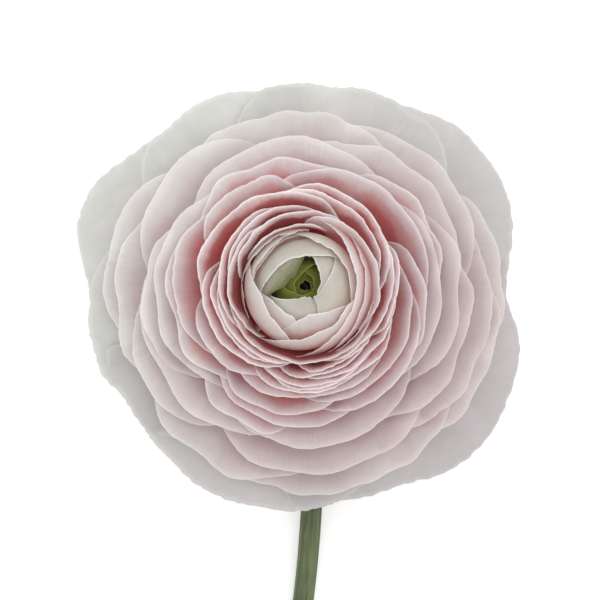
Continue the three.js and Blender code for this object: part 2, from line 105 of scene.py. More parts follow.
OPEN_ROWS = (
    ("collar_petal_right", 330, 88, (14.4, 15.0, 16.8)),
    ("collar_petal_upper_left", 62, 170, (16.4, 15.4, 15.2)),
    ("collar_petal_left", 116, 226, (15.9, 16.5, 13.6)),
    ("collar_petal_high_left", 82, 172, (18.4, 16.8, 16.0)),
    ("collar_petal_bottom", 184, 338, (17.2, 15.0, 17.2)),
    ("collar_petal_far_left", 104, 216, (19.6, 18.2, 15.6)),
    ("cup_petal_lower_left", 177, 263, (18.6, 17.1, 17.4)),
    ("cup_petal_left", 163, 252, (19.8, 18.8, 18.4)),
    ("cup_petal_far_left", 165, 258, (22.0, 20.6, 19.7)),
    ("cup_petal_top", 64, 184, (17.2, 21.8, 24.1)),
    ("cup_petal_upper_right", 8, 114, (15.8, 19.3, 22.4)),
    ("cup_petal_right", 2, 98, (16.8, 20.9, 23.4)),
    ("cup_petal_lower_right", 284, 38, (15.2, 16.9, 22.0)),
    ("collar_petal_low_right", 264, 332, (16.7, 16.2, 17.5)),
    ("collar_petal_low", 252, 322, (18.0, 17.4, 18.1)),
    ("cup_petal_far_right", 326, 28, (17.6, 19.0, 22.4)),
    ("cup_petal_bottom", 266, 356, (17.3, 17.9, 19.8)),
    ("cup_petal_low", 244, 320, (19.2, 18.8, 20.0)),
    ("cup_petal_low_right", 245, 342, (19.9, 19.4, 21.3)),
    ("cup_petal_foot", 238, 310, (20.6, 20.2, 20.8)),
    ("middle_petal_left", 188, 242, (23.2, 22.1, 21.0)),
    ("middle_petal_bottom", 228, 324, (22.2, 21.4, 22.6)),
    ("middle_petal_lower_right", 276, 12, (24.0, 23.4, 21.9)),
    ("middle_petal_top_left", 98, 152, (24.8, 25.6, 25.0)),
    ("middle_petal_foot", 228, 286, (26.2, 25.4, 24.5)),
    ("middle_petal_upper_left", 140, 214, (28.4, 26.6, 23.8)),
    ("middle_petal_right", 282, 358, (28.0, 26.5, 23.4)),
    ("middle_petal_far_right", 334, 26, (28.0, 25.8, 24.2)),
    ("middle_petal_upper_right", 358, 96, (25.6, 27.0, 25.0)),
    ("middle_petal_high", 78, 142, (26.9, 27.4, 28.3)),
    ("middle_petal_far_left", 152, 226, (29.8, 27.8, 27.4)),
    ("middle_petal_low", 230, 292, (26.0, 26.0, 28.4)),
    ("outer_petal_right", 322, 44, (28.2, 28.6, 28.4)),
    ("outer_petal_left", 134, 224, (29.2, 30.2, 28.0)),
    ("middle_petal_lower_left", 224, 262, (29.4, 29.5, 30.2)),
    ("middle_petal_high_right", 4, 60, (29.3, 30.4, 30.4)),
    ("outer_petal_top", 62, 136, (30.2, 32.2, 31.0)),
    ("outer_petal_bottom", 248, 320, (31.0, 31.9, 31.0)),
    ("outer_petal_far_right", 324, 30, (31.4, 32.8, 33.2)),
    ("outer_petal_wide_left", 156, 214, (31.8, 33.2, 31.8)),
    ("outer_petal_lower_left", 176, 250, (33.2, 33.2, 32.6)),
    ("outer_petal_upper_right", 10, 78, (34.8, 35.0, 33.6)),
    ("outer_petal_wide_right", 308, 10, (33.8, 35.0, 35.0)),
    ("outer_petal_low", 244, 314, (35.6, 37.0, 36.4)),
    ("outer_petal_low_left", 186, 232, (36.0, 36.8, 37.0)),
    ("outer_petal_upper_left", 112, 166, (38.0, 37.2, 36.0)),
    ("outer_petal_far_left", 152, 206, (37.8, 38.4, 38.4)),
    ("outer_petal_high", 60, 122, (37.4, 38.0, 39.2)),
    ("outer_petal_high_right", 12, 70, (38.6, 39.3, 38.8)),
    ("outer_petal_low_right", 312, 16, (37.4, 39.4, 39.6)),
    ("outer_petal_foot", 215, 266, (38.6, 39.5, 40.0)),
    ("outer_petal_back_left", 138, 188, (39.8, 40.9, 40.4)),
    ("outer_petal_back_bottom", 256, 322, (41.2, 41.4, 41.0)),
    ("outer_petal_back_right", 318, 2, (41.4, 42.4, 41.6)),
    ("outer_petal_back_high", 346, 30, (42.0, 41.7, 42.4)),
    ("guard_petal_top", 44, 106, (45.8, 45.4, 44.6)),
    ("guard_petal_right", 3, 62, (45.8, 49.6, 47.2)),
    ("guard_petal_upper_left", 92, 142, (45.7, 45.5, 45.0)),
    ("guard_petal_lower_left", 168, 226, (43.8, 44.6, 42.8)),
    ("guard_petal_left", 128, 183, (46.0, 49.3, 45.2)),
    ("guard_petal_bottom", 204, 288, (43.8, 44.6, 43.8)),
    ("guard_petal_lower_right", 274, 2, (45.0, 48.8, 45.9)),
)

# How far the drooping outer petals reach, every ten degrees anticlockwise from +X, round their own middle
OUTLINE = (
    42.8, 44.2, 47.6, 50.0, 50.0, 48.3, 46.2, 45.8, 44.2, 45.0, 43.8, 45.2, 45.4, 44.5, 46.2, 49.4, 50.0, 46.2,
    43.2, 44.9, 44.6, 41.9, 42.2, 43.2, 44.4, 44.6, 45.6, 45.8, 43.2, 43.9, 44.8, 47.9, 49.4, 48.8, 48.4, 46.8,
)


def linear(code: str) -> tuple[float, float, float, float]:
    """Turn an sRGB hex colour into linear light.

    Args:
        code: colour such as "#e3c3c1".

    Returns:
        Red, green, blue and an alpha of 1.
    """
    channels = (int(code[i:i + 2], 16) / 255 for i in (1, 3, 5))
    return (*(c / 12.92 if c <= 0.04045 else ((c + 0.055) / 1.055) ** 2.4 for c in channels), 1.0)


def smooth(low: float, high: float, x: np.ndarray) -> np.ndarray:
    """Smooth step from 0 at low to 1 at high.

    Args:
        low: where the step starts.
        high: where the step ends.
        x: values to look up.

    Returns:
        The step at each value.
    """
    share = np.clip((x - low) / (high - low), 0, 1)
    return share * share * (3 - 2 * share)


def through(values: np.ndarray | tuple[float, float, float], u: np.ndarray | float) -> np.ndarray:
    """Quadratic through three values at -1, 0 and 1.

    Args:
        values: the three values.
        u: where to read it.

    Returns:
        The quadratic at u.
    """
    a, b, c = values
    return b + (c - a) / 2 * u + ((a + c) / 2 - b) * u * u


def mix(ends: tuple[float, float], share: np.ndarray | float) -> np.ndarray | float:
    """Value between two ends, the first at share 0 and the second at share 1."""
    return ends[0] + (ends[1] - ends[0]) * share


def cubic(t: np.ndarray, a: float, b: np.ndarray, c: np.ndarray, d: np.ndarray) -> np.ndarray:
    """Curve from a at 0 to d at 1 that is pulled by b and c on its way."""
    rest = 1 - t
    return rest ** 3 * a + 3 * rest * rest * t * b + 3 * rest * t * t * c + t ** 3 * d


def swing(start: float, end: float | np.ndarray) -> float | np.ndarray:
    """Degrees from one direction round to another, from -180 to 180."""
    return (end - start + 540) % 360 - 180


def add_node(tree: NodeTree, kind: str, links: dict | None = None, **settings) -> Node:
    """Add a node, set it up and link it.

    Args:
        tree: node tree that gets the node.
        kind: the node's type name.
        links: input name or number to a constant, to an output socket, or to a node whose first output feeds it.
        **settings: properties of the node itself.

    Returns:
        The new node.
    """
    node = tree.nodes.new(kind)
    for key, value in settings.items():
        setattr(node, key, value)
    for key, value in (links or {}).items():
        if isinstance(value, Node):
            value = next(socket for socket in value.outputs if socket.enabled)
        if isinstance(value, NodeSocket):
            tree.links.new(value, node.inputs[key])
        else:
            node.inputs[key].default_value = value
    return node


def new_material(name: str) -> tuple[Material, NodeTree]:
    """Make an empty node material.

    Args:
        name: the material's name.

    Returns:
        The material and its cleared node tree.
    """
    material = bpy.data.materials.new(name)
    material.use_nodes = True
    material.node_tree.nodes.clear()
    return material, material.node_tree

def link_piece(name: str, mesh: Mesh, material: Material) -> Object:
    """Dress a mesh, smooth it and put it into the scene.

    Args:
        name: the piece's name.
        mesh: its mesh, in the row frame.
        material: what it is dressed in.

    Returns:
        The linked object, at the origin.
    """
    mesh.materials.clear()
    mesh.materials.append(material)
    mesh.polygons.foreach_set("use_smooth", np.ones(len(mesh.polygons), dtype=bool))
    mesh.update()
    piece = bpy.data.objects.new(name, mesh)
    bpy.context.scene.collection.objects.link(piece)
    return piece


def mesh_object(
    name: str,
    points: np.ndarray,
    faces: list | np.ndarray,
    material: Material,
    uv: np.ndarray | None = None,
    marks: dict[str, np.ndarray] | None = None,
) -> Object:
    """Make a smooth mesh object at the origin.

    Args:
        name: the piece's name.
        points: corner positions in metres, in the row frame.
        faces: corner numbers of each face.
        material: what it is dressed in.
        uv: optional place on the sheet of each corner, across and along, in millimetres.
        marks: optional values of each corner that the material reads, by attribute name.

    Returns:
        The linked object.
    """
    mesh = bpy.data.meshes.new(name)
    mesh.from_pydata(points.tolist(), [], [list(map(int, face)) for face in faces])
    if uv is not None:
        corners = np.empty(len(mesh.loops), dtype=np.int64)
        mesh.loops.foreach_get("vertex_index", corners)
        mesh.uv_layers.new(name="sheet").data.foreach_set("uv", uv[corners].ravel())
    for key, values in (marks or {}).items():
        mesh.attributes.new(key, "FLOAT", "POINT").data.foreach_set("value", values.astype(np.float32))
    return link_piece(name, mesh, material)


def both_sides(middle: np.ndarray, thickness: float | np.ndarray) -> np.ndarray:
    """Points on both sides of a sheet's middle surface.

    Args:
        middle: grid of points in millimetres.
        thickness: the sheet's thickness in millimetres, one for all or one for each point.

    Returns:
        Points in metres, one side after the other.
    """
    normal = np.cross(np.gradient(middle, axis=1), np.gradient(middle, axis=0))
    normal /= np.maximum(np.linalg.norm(normal, axis=2, keepdims=True), 1e-9)
    offset = normal * (thickness / 2)
    return np.concatenate([(middle + offset).reshape(-1, 3), (middle - offset).reshape(-1, 3)]) * MM


def sheet_faces(shape: tuple[int, ...]) -> np.ndarray:
    """Quads of a closed sheet made of two grids and the strip round them.

    Args:
        shape: rows and columns of one grid.

    Returns:
        Corner numbers of each quad, facing out.
    """
    rows, columns = shape[:2]
    size = rows * columns
    number = np.arange(size).reshape(rows, columns)
    a, b = number[:-1, :-1].ravel(), number[:-1, 1:].ravel()
    c, d = number[1:, 1:].ravel(), number[1:, :-1].ravel()
    upper = np.stack([a, b, c, d], axis=1)
    lower = np.stack([a, d, c, b], axis=1) + size
    ring = np.concatenate([number[0, :], number[1:, -1], number[-1, -2::-1], number[-2:0:-1, 0]])
    following = np.roll(ring, -1)
    strip = np.stack([following, ring, ring + size, following + size], axis=1)
    return np.concatenate([upper, lower, strip])


def plan_growth(name: str, inputs: dict) -> tuple[NodeTree, dict]:
    """Start a geometry node tree with named inputs.

    Args:
        name: the tree's name.
        inputs: input name to its value, which is a size, a whole number or a material.

    Returns:
        The tree, and the value of each input by its socket's identifier.
    """
    tree = bpy.data.node_groups.new(name, "GeometryNodeTree")
    face = tree.interface
    for way in ("INPUT", "OUTPUT"):
        face.new_socket(name="Geometry", in_out=way, socket_type="NodeSocketGeometry")
    return tree, {
        face.new_socket(name=label, in_out="INPUT", socket_type=SOCKET_KINDS[type(value)]).identifier: value
        for label, value in inputs.items()
    }


def grow(
    name: str,
    tree: NodeTree,
    values: dict,
    shape: Node,
    material: Material,
    start: Mesh | None = None,
) -> Object:
    """Close a geometry node tree, run it and keep its result as a plain mesh object.

    Args:
        name: the piece's name.
        tree: the node tree, which has an input named Skin.
        values: the value of each input by its socket's identifier.
        shape: the node that gives the finished shape.
        material: what the result is dressed in.
        start: optional mesh that the tree starts from.

    Returns:
        The linked object, without any modifier.
    """
    skin = add_node(tree, "NodeGroupInput").outputs["Skin"]
    whole = add_node(tree, "GeometryNodeRealizeInstances", {"Geometry": shape})
    dressed = add_node(tree, "GeometryNodeSetMaterial", {"Geometry": whole, "Material": skin})
    add_node(tree, "NodeGroupOutput", {"Geometry": dressed})
    seed = bpy.data.objects.new(f"{name}_seed", start or bpy.data.meshes.new(f"{name}_seed"))
    bpy.context.scene.collection.objects.link(seed)
    modifier = seed.modifiers.new("grow", "NODES")
    modifier.node_group = tree
    for identifier, value in values.items():
        modifier[identifier] = value
    ready = seed.evaluated_get(bpy.context.evaluated_depsgraph_get())
    mesh = bpy.data.meshes.new_from_object(ready)
    bpy.data.objects.remove(seed)
    mesh.name = name
    work = bmesh.new()
    work.from_mesh(mesh)
    bmesh.ops.recalc_face_normals(work, faces=work.faces)
    work.to_mesh(mesh)
    work.free()
    return link_piece(name, mesh, material)


def settle_piece(piece: Object, nodes: tuple[str, ...] = ()) -> None:
    """Let a piece ride on the flower and hide the model nodes that it replaces.

    Args:
        piece: the finished object.
        nodes: model nodes that it replaces.
    """
    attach(piece, "root")
    if nodes:
        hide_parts(*nodes)
    LOG.info("%s: %d faces", piece.name, len(piece.data.polygons))


@dataclass(frozen=True)
class PetalFinish:
    """Living petal tissue: thin, matt and slightly velvety, lit through from behind, paler toward its free edge, with
    painted shade and painted glow deep in the folds and a painted highlight along the rim.

    The colours run from the free edge inward. band_at, body_at and deep_at say how many millimetres from it.
    """

    name: str
    slot: str
    edge: str
    band: str
    body: str
    deep: str
    band_at: float
    body_at: float
    deep_at: float
    glow: str
    through: float = 0.42
    vein_mm: float = 0.55
    vein_strength: float = 0.06
    mottle_mm: float = 7.0
    mottle: str = "#f0e4df"
    mottle_share: float = 0.2
    roughness: float = 0.68
    sheen: float = 0.12
    crease_mm: float = 0.04
    # From here on: strength of the painted glow in the folds, tint of the painted side shade and how much of it is
    # left at the rim, and width and brightness of the painted highlight on the rim
    painted_glow: float = 0.0
    painted_side_shade: str = "#ffffff"
    side_shade_at_rim: float = 0.3
    rim_highlight_mm: float = 0.45
    painted_rim_highlight: float = 1.1

    EDGE_HOLD = 0.4
    VEIN_DRAW = 0.07
    SKIN_MM = 0.9
    SKIN_RELIEF_MM = 0.04
    DULLEST, SHINIEST = 0.08, -0.06
    GLOW_SHARE = 0.2
    # Tint of the painted highlight on the rim
    RIM_HIGHLIGHT_TINT = (0.8, 1.05, 1.1)

    def material(self) -> Material:
        """Build the petal material.

        Returns:
            A Principled surface mixed with light from behind.
        """
        material, tree = new_material(self.name)
        add = partial(add_node, tree)
        edge, side = (
            add("ShaderNodeAttribute", attribute_name=mark, attribute_type="GEOMETRY").outputs["Fac"]
            for mark in ("rim", "painted_side_shade")
        )
        sheet = add("ShaderNodeSeparateXYZ", {"Vector": add("ShaderNodeUVMap", uv_map="sheet")}).outputs
        solid = add("ShaderNodeTexCoord").outputs["Object"]
        # Soft clouds shift where the colour turns, so that no two petals fade alike
        clouds = add("ShaderNodeTexNoise", {
            "Vector": solid, "Scale": 1 / (self.mottle_mm * MM), "Detail": 3.0, "Roughness": 0.55,
        })
        shift = add("ShaderNodeMapRange", {
            "Value": clouds, "From Min": 0.3, "From Max": 0.7, "To Min": 0.5, "To Max": 1.6,
        })
        depth = add("ShaderNodeMath", {0: edge, 1: shift}, operation="MULTIPLY")
        # Colour by distance from the free edge: the paling toward the rim is the petal's own, the white at the very
        # edge is partly painted highlight, and the deep colour is partly its own and partly painted shade in the folds
        share = add("ShaderNodeMapRange", {"Value": depth, "From Max": self.deep_at})
        ramp = add("ShaderNodeValToRGB", {"Fac": share})
        stops = ramp.color_ramp
        stops.interpolation = "EASE"
        stops.elements[0].color = linear(self.edge)
        stops.elements[1].color = linear(self.deep)
        for at, code in (
            (self.EDGE_HOLD * self.band_at, self.edge), (self.band_at, self.band), (self.body_at, self.body),
        ):
            stops.elements.new(at / self.deep_at).color = linear(code)
        # Fine veins run from the claw to the free edge
        slow = add("ShaderNodeMath", {0: sheet["Y"], 1: self.VEIN_DRAW}, operation="MULTIPLY")
        drawn = add("ShaderNodeCombineXYZ", {"X": sheet["X"], "Y": slow})
        veins = add("ShaderNodeTexNoise", {
            "Vector": drawn, "Scale": 1 / self.vein_mm, "Detail": 2.0, "Roughness": 0.5,
        })
        line = add("ShaderNodeMapRange", {
            "Value": veins, "From Min": 0.35, "From Max": 0.65, "To Min": 1 - self.vein_strength,
        })
        pale = add("ShaderNodeMapRange", {
            "Value": clouds, "From Min": 0.45, "From Max": 0.75, "To Max": self.mottle_share,
        })
        tinted = add("ShaderNodeMix", {"Factor": pale, "A": ramp, "B": linear(self.mottle)}, data_type="RGBA")
        grey = add("ShaderNodeCombineXYZ", dict.fromkeys("XYZ", line))
        lined = add(
            "ShaderNodeMix", {"Factor": 1.0, "A": tinted, "B": grey}, data_type="RGBA", blend_type="MULTIPLY",
        )
        # Painted side shade: one side of the flower is tinted darker and pinker than the other, most of all away from
        # the white rims
        inward = add("ShaderNodeMapRange", {"Value": share, "To Min": self.side_shade_at_rim})
        side_shade_share = add("ShaderNodeMath", {0: side, 1: inward}, operation="MULTIPLY")
        colour = add(
            "ShaderNodeMix", {"Factor": side_shade_share, "A": lined, "B": linear(self.painted_side_shade)},
            data_type="RGBA", blend_type="MULTIPLY",
        )
        # Shallow creases between the veins, and the finer pebbled skin, drawn coarser than real so that it shows
        crease = add("ShaderNodeBump", {"Height": veins, "Strength": 0.5, "Distance": self.crease_mm * MM})
        skin = add("ShaderNodeTexNoise", {"Vector": solid, "Scale": 1 / (self.SKIN_MM * MM), "Detail": 2.0})
        pebble = add("ShaderNodeBump", {
            "Height": skin, "Strength": 0.25, "Distance": self.SKIN_RELIEF_MM * MM, "Normal": crease,
        })
        dull = add("ShaderNodeMapRange", {
            "Value": skin, "To Min": self.roughness + self.SHINIEST, "To Max": self.roughness + self.DULLEST,
        })
        # Painted glow: the folds are given emission in their deep colour, standing in for light that wanders inside
        # the tissue, so they glow instead of turning grey
        inside = add("ShaderNodeMapRange", {"Value": share, "From Min": 0.1, "From Max": 0.8})
        painted_fold_glow = add("ShaderNodeMix", {"Factor": inside, "A": BLACK, "B": linear(self.deep)}, data_type="RGBA")
        # Painted highlight: the thin rim is given a fine pale line of emission, standing in for the light it gathers
        rim_highlight_share = add("ShaderNodeMapRange", {
            "Value": edge, "From Min": self.rim_highlight_mm / 4, "From Max": self.rim_highlight_mm, "To Min": 1.0, "To Max": 0.0,
        })
        rim_highlight_colour = (*(self.painted_rim_highlight * channel for channel in self.RIM_HIGHLIGHT_TINT), 1.0)
        light = add("ShaderNodeMix", {"Factor": rim_highlight_share, "A": painted_fold_glow, "B": rim_highlight_colour}, data_type="RGBA")
        front = add("ShaderNodeBsdfPrincipled", {
            "Base Color": colour, "Roughness": dull, "Emission Color": light, "Emission Strength": self.painted_glow,
            "Specular IOR Level": 0.18, "Sheen Weight": self.sheen, "Sheen Roughness": 0.5, "Normal": pebble,
        })
        warm = add(
            "ShaderNodeMix", {"Factor": self.GLOW_SHARE, "A": colour, "B": linear(self.glow)}, data_type="RGBA",
        )
        behind = add("ShaderNodeBsdfTranslucent", {"Color": warm, "Normal": pebble})
        both = add("ShaderNodeMixShader", {0: self.through, 1: front, 2: behind})
        add("ShaderNodeOutputMaterial", {"Surface": both})
        return material


@dataclass(frozen=True)
class LeafFinish:
    """Green living skin of stem, sepals and receptacle: waxy, faintly ribbed, darker in the hollows of its grain,
    partly random tone and partly painted shade.
    """

    name: str
    slot: str
    light: str
    dark: str
    grain_mm: float
    roughness: float = 0.6
    relief_mm: float = 0.06

    CLOUD_MM = 9
    DULLEST, SHINIEST = 0.1, -0.08

    def grain(self, tree: NodeTree, solid: NodeSocket) -> NodeSocket | Node:
        """Where the grain is read: here the same in every direction."""
        return solid

    def material(self) -> Material:
        """Build the green skin material.

        Returns:
            A Principled surface with streaks along the piece.
        """
        material, tree = new_material(self.name)
        add = partial(add_node, tree)
        solid = add("ShaderNodeTexCoord").outputs["Object"]
        streaks = add("ShaderNodeTexNoise", {
            "Vector": self.grain(tree, solid), "Scale": 1 / (self.grain_mm * MM), "Detail": 3.0,
        })
        clouds = add("ShaderNodeTexNoise", {"Vector": solid, "Scale": 1 / (self.CLOUD_MM * MM), "Detail": 2.0})
        both = add("ShaderNodeMath", {0: streaks, 1: clouds}, operation="ADD")
        share = add("ShaderNodeMapRange", {"Value": both, "From Min": 0.7, "From Max": 1.3})
        # Darker where the grain is low, which the bump draws as hollows: partly random tone, partly painted shade
        colour = add(
            "ShaderNodeMix", {"Factor": share, "A": linear(self.dark), "B": linear(self.light)}, data_type="RGBA",
        )
        relief = add("ShaderNodeBump", {"Height": streaks, "Strength": 0.6, "Distance": self.relief_mm * MM})
        dull = add("ShaderNodeMapRange", {
            "Value": clouds, "To Min": self.roughness + self.SHINIEST, "To Max": self.roughness + self.DULLEST,
        })
        surface = add("ShaderNodeBsdfPrincipled", {
            "Base Color": colour, "Roughness": dull, "Specular IOR Level": 0.35, "Normal": relief,
            "Subsurface Weight": 0.05, "Subsurface Scale": 1 * MM,
        })
        add("ShaderNodeOutputMaterial", {"Surface": surface})
        return material


@dataclass(frozen=True)
class StemFinish(LeafFinish):
    """Waxy stem skin whose fine streaks run along the stem, round its bend too."""

    draw_out: float = 0.06

    def grain(self, tree: NodeTree, solid: NodeSocket) -> NodeSocket | Node:
        """Where the grain is read: round the stem's section, and drawn out along it.

        Args:
            tree: the material's node tree.
            solid: its texture coordinates, not needed here.

        Returns:
            The node that gives the place.
        """
        side, rise, along = (
            add_node(tree, "ShaderNodeAttribute", attribute_name=mark, attribute_type="GEOMETRY").outputs["Fac"]
            for mark in ("side", "rise", "along")
        )
        slow = add_node(tree, "ShaderNodeMath", {0: along, 1: self.draw_out}, operation="MULTIPLY")
        return add_node(tree, "ShaderNodeCombineXYZ", {"X": side, "Y": slow, "Z": rise})


# Guard petals: greyish white. Outer petals: paler still, a breath of pink where they pass under the next ring, partly
# painted shade
GUARD = PetalFinish(
    "petal_guard_white", "petal_white", edge="#f1f2ee", band="#e8e9e5", body="#e1e1dd", deep="#dfd3d0",
    band_at=1.2, body_at=12, deep_at=24, glow="#eceae8", through=0.36, vein_strength=0.025,
    mottle="#f8f7f6", mottle_share=0.6, painted_side_shade="#e6dfe4", side_shade_at_rim=0.8,
)
OUTER = PetalFinish(
    "petal_outer_pale_blush", "petal_pale_blush", edge="#fefefc", band="#f8f8f7", body="#efeceb",
    deep="#efcbc9", band_at=1.8, body_at=6, deep_at=13, glow="#f9f2f2", through=0.72, vein_strength=0.03,
    mottle="#f4eeee", painted_glow=0.13, painted_side_shade="#ecdedf", side_shade_at_rim=0.4,
)
# Middle and inner petals: white near the edge, then pink and rose in the folds, partly their own colour and partly
# painted shade
MIDDLE = PetalFinish(
    "petal_middle_blush", "petal_blush", edge="#fcfcfc", band="#f4f3f3", body="#ecd5d4", deep="#e69a98",
    band_at=1.1, body_at=4.2, deep_at=8.5, glow="#fae1e1", through=0.72, vein_strength=0.04,
    mottle="#f4eaea", painted_glow=0.24, painted_side_shade="#e8d0d2", side_shade_at_rim=0.2,
)
CUP = PetalFinish(
    "petal_cup_rose", "petal_blush", edge="#ffffff", band="#f6eceb", body="#d4918f", deep="#cc6364",
    band_at=1.0, body_at=3.4, deep_at=8, glow="#f3c6c4", through=0.66, vein_strength=0.05,
    painted_glow=0.27, painted_side_shade="#e4babd", side_shade_at_rim=0.1, painted_rim_highlight=1.5,
)
# The tight inner folds are a deep rose, partly their own colour and partly painted shade, with painted glow standing
# in for light passed on from petal to petal
COLLAR = PetalFinish(
    "petal_collar_rose", "petal_blush", edge="#ffffff", band="#f8e9e6", body="#ba6d68", deep="#a03438",
    band_at=1.0, body_at=2.9, deep_at=8, glow="#e29a96", through=0.6, vein_strength=0.05,
    painted_glow=0.24, painted_side_shade="#e2babe", side_shade_at_rim=0.1, painted_rim_highlight=1.5,
)
COLLAR_PALE = PetalFinish(
    "petal_collar_shell_pink", "petal_blush", edge="#ffffff", band="#fbf9f8", body="#f5ebe9", deep="#df9c9b",
    band_at=0.9, body_at=3.4, deep_at=8, glow="#f2d6d2", through=0.5, vein_strength=0.04,
    painted_glow=0.14, painted_side_shade="#f9eef0",
)
# Petals wrapped round the ball: cream, peach where one lies over another, partly painted shade
BUD = PetalFinish(
    "petal_bud_cream", "petal_cream", edge="#ffffff", band="#f8f6f4", body="#f2eeeb", deep="#e4c4be",
    band_at=0.4, body_at=3.5, deep_at=8, glow="#f0d8d0", mottle="#f0ece8", through=0.46, vein_strength=0.04,
    painted_glow=0.12, painted_side_shade="#fcf5f5",
)
# The heart: cream petals, one so thin that the green shows through it, and the green ones in the middle, darkening
# deep inside partly as painted shade
HEART_PALE = PetalFinish(
    "petal_heart_cream", "petal_cream", edge="#faf8f3", band="#ece8e0", body="#e7e2d9", deep="#dfd2c6",
    band_at=0.5, body_at=4, deep_at=11, glow="#e4dccc", mottle="#e0dcd3", vein_strength=0.03, crease_mm=0.03,
    painted_glow=0.14,
)
HEART_VEILED = PetalFinish(
    "petal_heart_veiled_green", "petal_cream", edge="#868a5c", band="#a2a381", body="#c2bda8", deep="#d6cdc0",
    band_at=1.1, body_at=2.4, deep_at=3.8, glow="#a9ad84", mottle="#a9a88c", through=0.3, crease_mm=0.03,
)
HEART_GREEN = PetalFinish(
    "petal_heart_green", "carpel_green", edge="#a0a552", band="#7f8438", body="#646a26", deep="#30340f",
    band_at=0.5, body_at=2.4, deep_at=7, glow="#8a9038", mottle="#737a30", through=0.2, crease_mm=0.05,
)
# Waxy stem, dull downy sepals, and carpels painted near black, a painted shade that makes the hollow between the heart
# petals read as a hole
STEM_SKIN = StemFinish(
    "stem_waxy_green", "stem_green", light="#707c57", dark="#3c4628", grain_mm=0.55, roughness=0.48,
)
LEAF_SKIN = LeafFinish("sepal_downy_green", "leaf_green", light="#a3b083", dark="#6f8155", grain_mm=1.4)
CARPEL_SHADE_SKIN = LeafFinish("carpel_green_painted_shade", "carpel_green", light="#22260e", dark="#0c0e05", grain_mm=0.7)

RING_FINISHES = {
    Ring.HEART: HEART_GREEN, Ring.BUD: BUD, Ring.COLLAR: COLLAR, Ring.CUP: CUP, Ring.MIDDLE: MIDDLE,
    Ring.OUTER: OUTER, Ring.GUARD: GUARD,
}
OWN_FINISHES = {"bud_heart_petal_left": HEART_VEILED} | dict.fromkeys(
    (
        "bud_wrap_petal_right", "bud_wrap_petal_far_right", "collar_petal_right", "collar_petal_lower_right",
        "collar_petal_top",
    ),
    COLLAR_PALE,
)


@dataclass(frozen=True)
class Head:
    """Where a point of the bloom's own axis system lies in the flower."""

    lean: float = 6.0
    ball_centre: tuple[float, float] = (0.62, 0.93)
    guard_centre: tuple[float, float] = (-0.52, -0.83)
    drift: tuple[float, float] = (12.0, 45.0)
    receptacle_height: float = 14.5
    receptacle_radii: tuple[float, float] = (6.0, 3.0)
    receptacle_top: float = 15.09
    seat_gap: float = 0.35

    def origin(self) -> np.ndarray:
        """Place of the head's own zero in the flower, read from the receptacle, in millimetres."""
        low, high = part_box("receptacle")
        return np.array([
            (low.x + high.x) / 2 / MM - self.ball_centre[0],
            (low.y + high.y) / 2 / MM - self.ball_centre[1],
            high.z / MM - self.receptacle_top,
        ])

    def settle(self, radius: np.ndarray, direction: np.ndarray, height: np.ndarray) -> np.ndarray:
        """From radius, direction and height round the head's axis to a point in the flower.

        Args:
            radius: distance from the axis.
            direction: degrees anticlockwise from +X.
            height: height over the receptacle.

        Returns:
            Points in millimetres, in the row frame.
        """
        drift = np.clip((radius - self.drift[0]) / (self.drift[1] - self.drift[0]), 0, 1)
        angle = np.radians(direction)
        x = self.ball_centre[0] + (self.guard_centre[0] - self.ball_centre[0]) * drift + radius * np.cos(angle)
        y = self.ball_centre[1] + (self.guard_centre[1] - self.ball_centre[1]) * drift + radius * np.sin(angle)
        z = height - y * math.tan(math.radians(self.lean))
        return np.stack(np.broadcast_arrays(x, y, z), axis=-1) + self.origin()

    def receptacle_radius(self, height: float) -> float:
        """Radius of the receptacle at a height over its base."""
        return mix(self.receptacle_radii, min(1.0, max(0.0, height / self.receptacle_height)))


@dataclass(frozen=True)
class Form:
    """How the petals of one ring are shaped, with the grid first and sizes in millimetres.

    corner and uneven cut the free edge by a share of the length, round and in waves. lift raises its middle and curl
    bends it out. wave, crinkle and curl go outward, ripple and pleat upward, crinkle and pleat being the finer ones.
    taper_from is the share of the half width from which the rim slips under the petals inside it, and widened says
    how much wider than its row the petal is.
    """

    columns: int
    rows: int
    corner: float
    corner_power: float
    lift: float
    curl: float
    wave: float
    crinkle: float
    ripple: float
    wave_mm: float
    pleat: float
    uneven: float
    taper_from: float
    widened: float
    thickness: float


# Columns, rows, corner and its power, lift, curl, wave, crinkle, ripple, wave_mm, pleat, uneven, taper_from, widened,
# thickness
FORMS = {
    Ring.HEART: Form(36, 24, 0.01, 3.0, 0.0, 0.0, 0.14, 0.07, 0.10, 6, 0.0, 0.004, 0.0, 1.4, 0.3),
    Ring.BUD: Form(80, 34, 0.02, 3.0, 0.0, 0.10, 0.18, 0.09, 0.10, 8, 0.05, 0.010, 0.0, 1.0, 0.10),
    Ring.COLLAR: Form(88, 28, 0.06, 5.0, 0.0, 0.22, 0.16, 0.08, 0.12, 10, 0.03, 0.012, 0.40, 1.12, 0.10),
    Ring.CUP: Form(88, 28, 0.08, 5.0, 0.2, 0.30, 0.20, 0.08, 0.22, 12, 0.04, 0.012, 0.34, 1.16, 0.10),
    Ring.MIDDLE: Form(84, 30, 0.08, 5.0, 0.25, 0.30, 0.28, 0.08, 0.36, 14, 0.05, 0.011, 0.30, 1.24, 0.11),
    Ring.OUTER: Form(84, 32, 0.08, 5.0, 0.35, 0.20, 0.38, 0.09, 0.55, 18, 0.06, 0.010, 0.30, 1.28, 0.11),
    Ring.GUARD: Form(110, 38, 0.08, 6.0, 0.4, 0.15, 0.30, 0.16, 0.9, 30, 0.12, 0.004, 0.45, 1.22, 0.12),
}


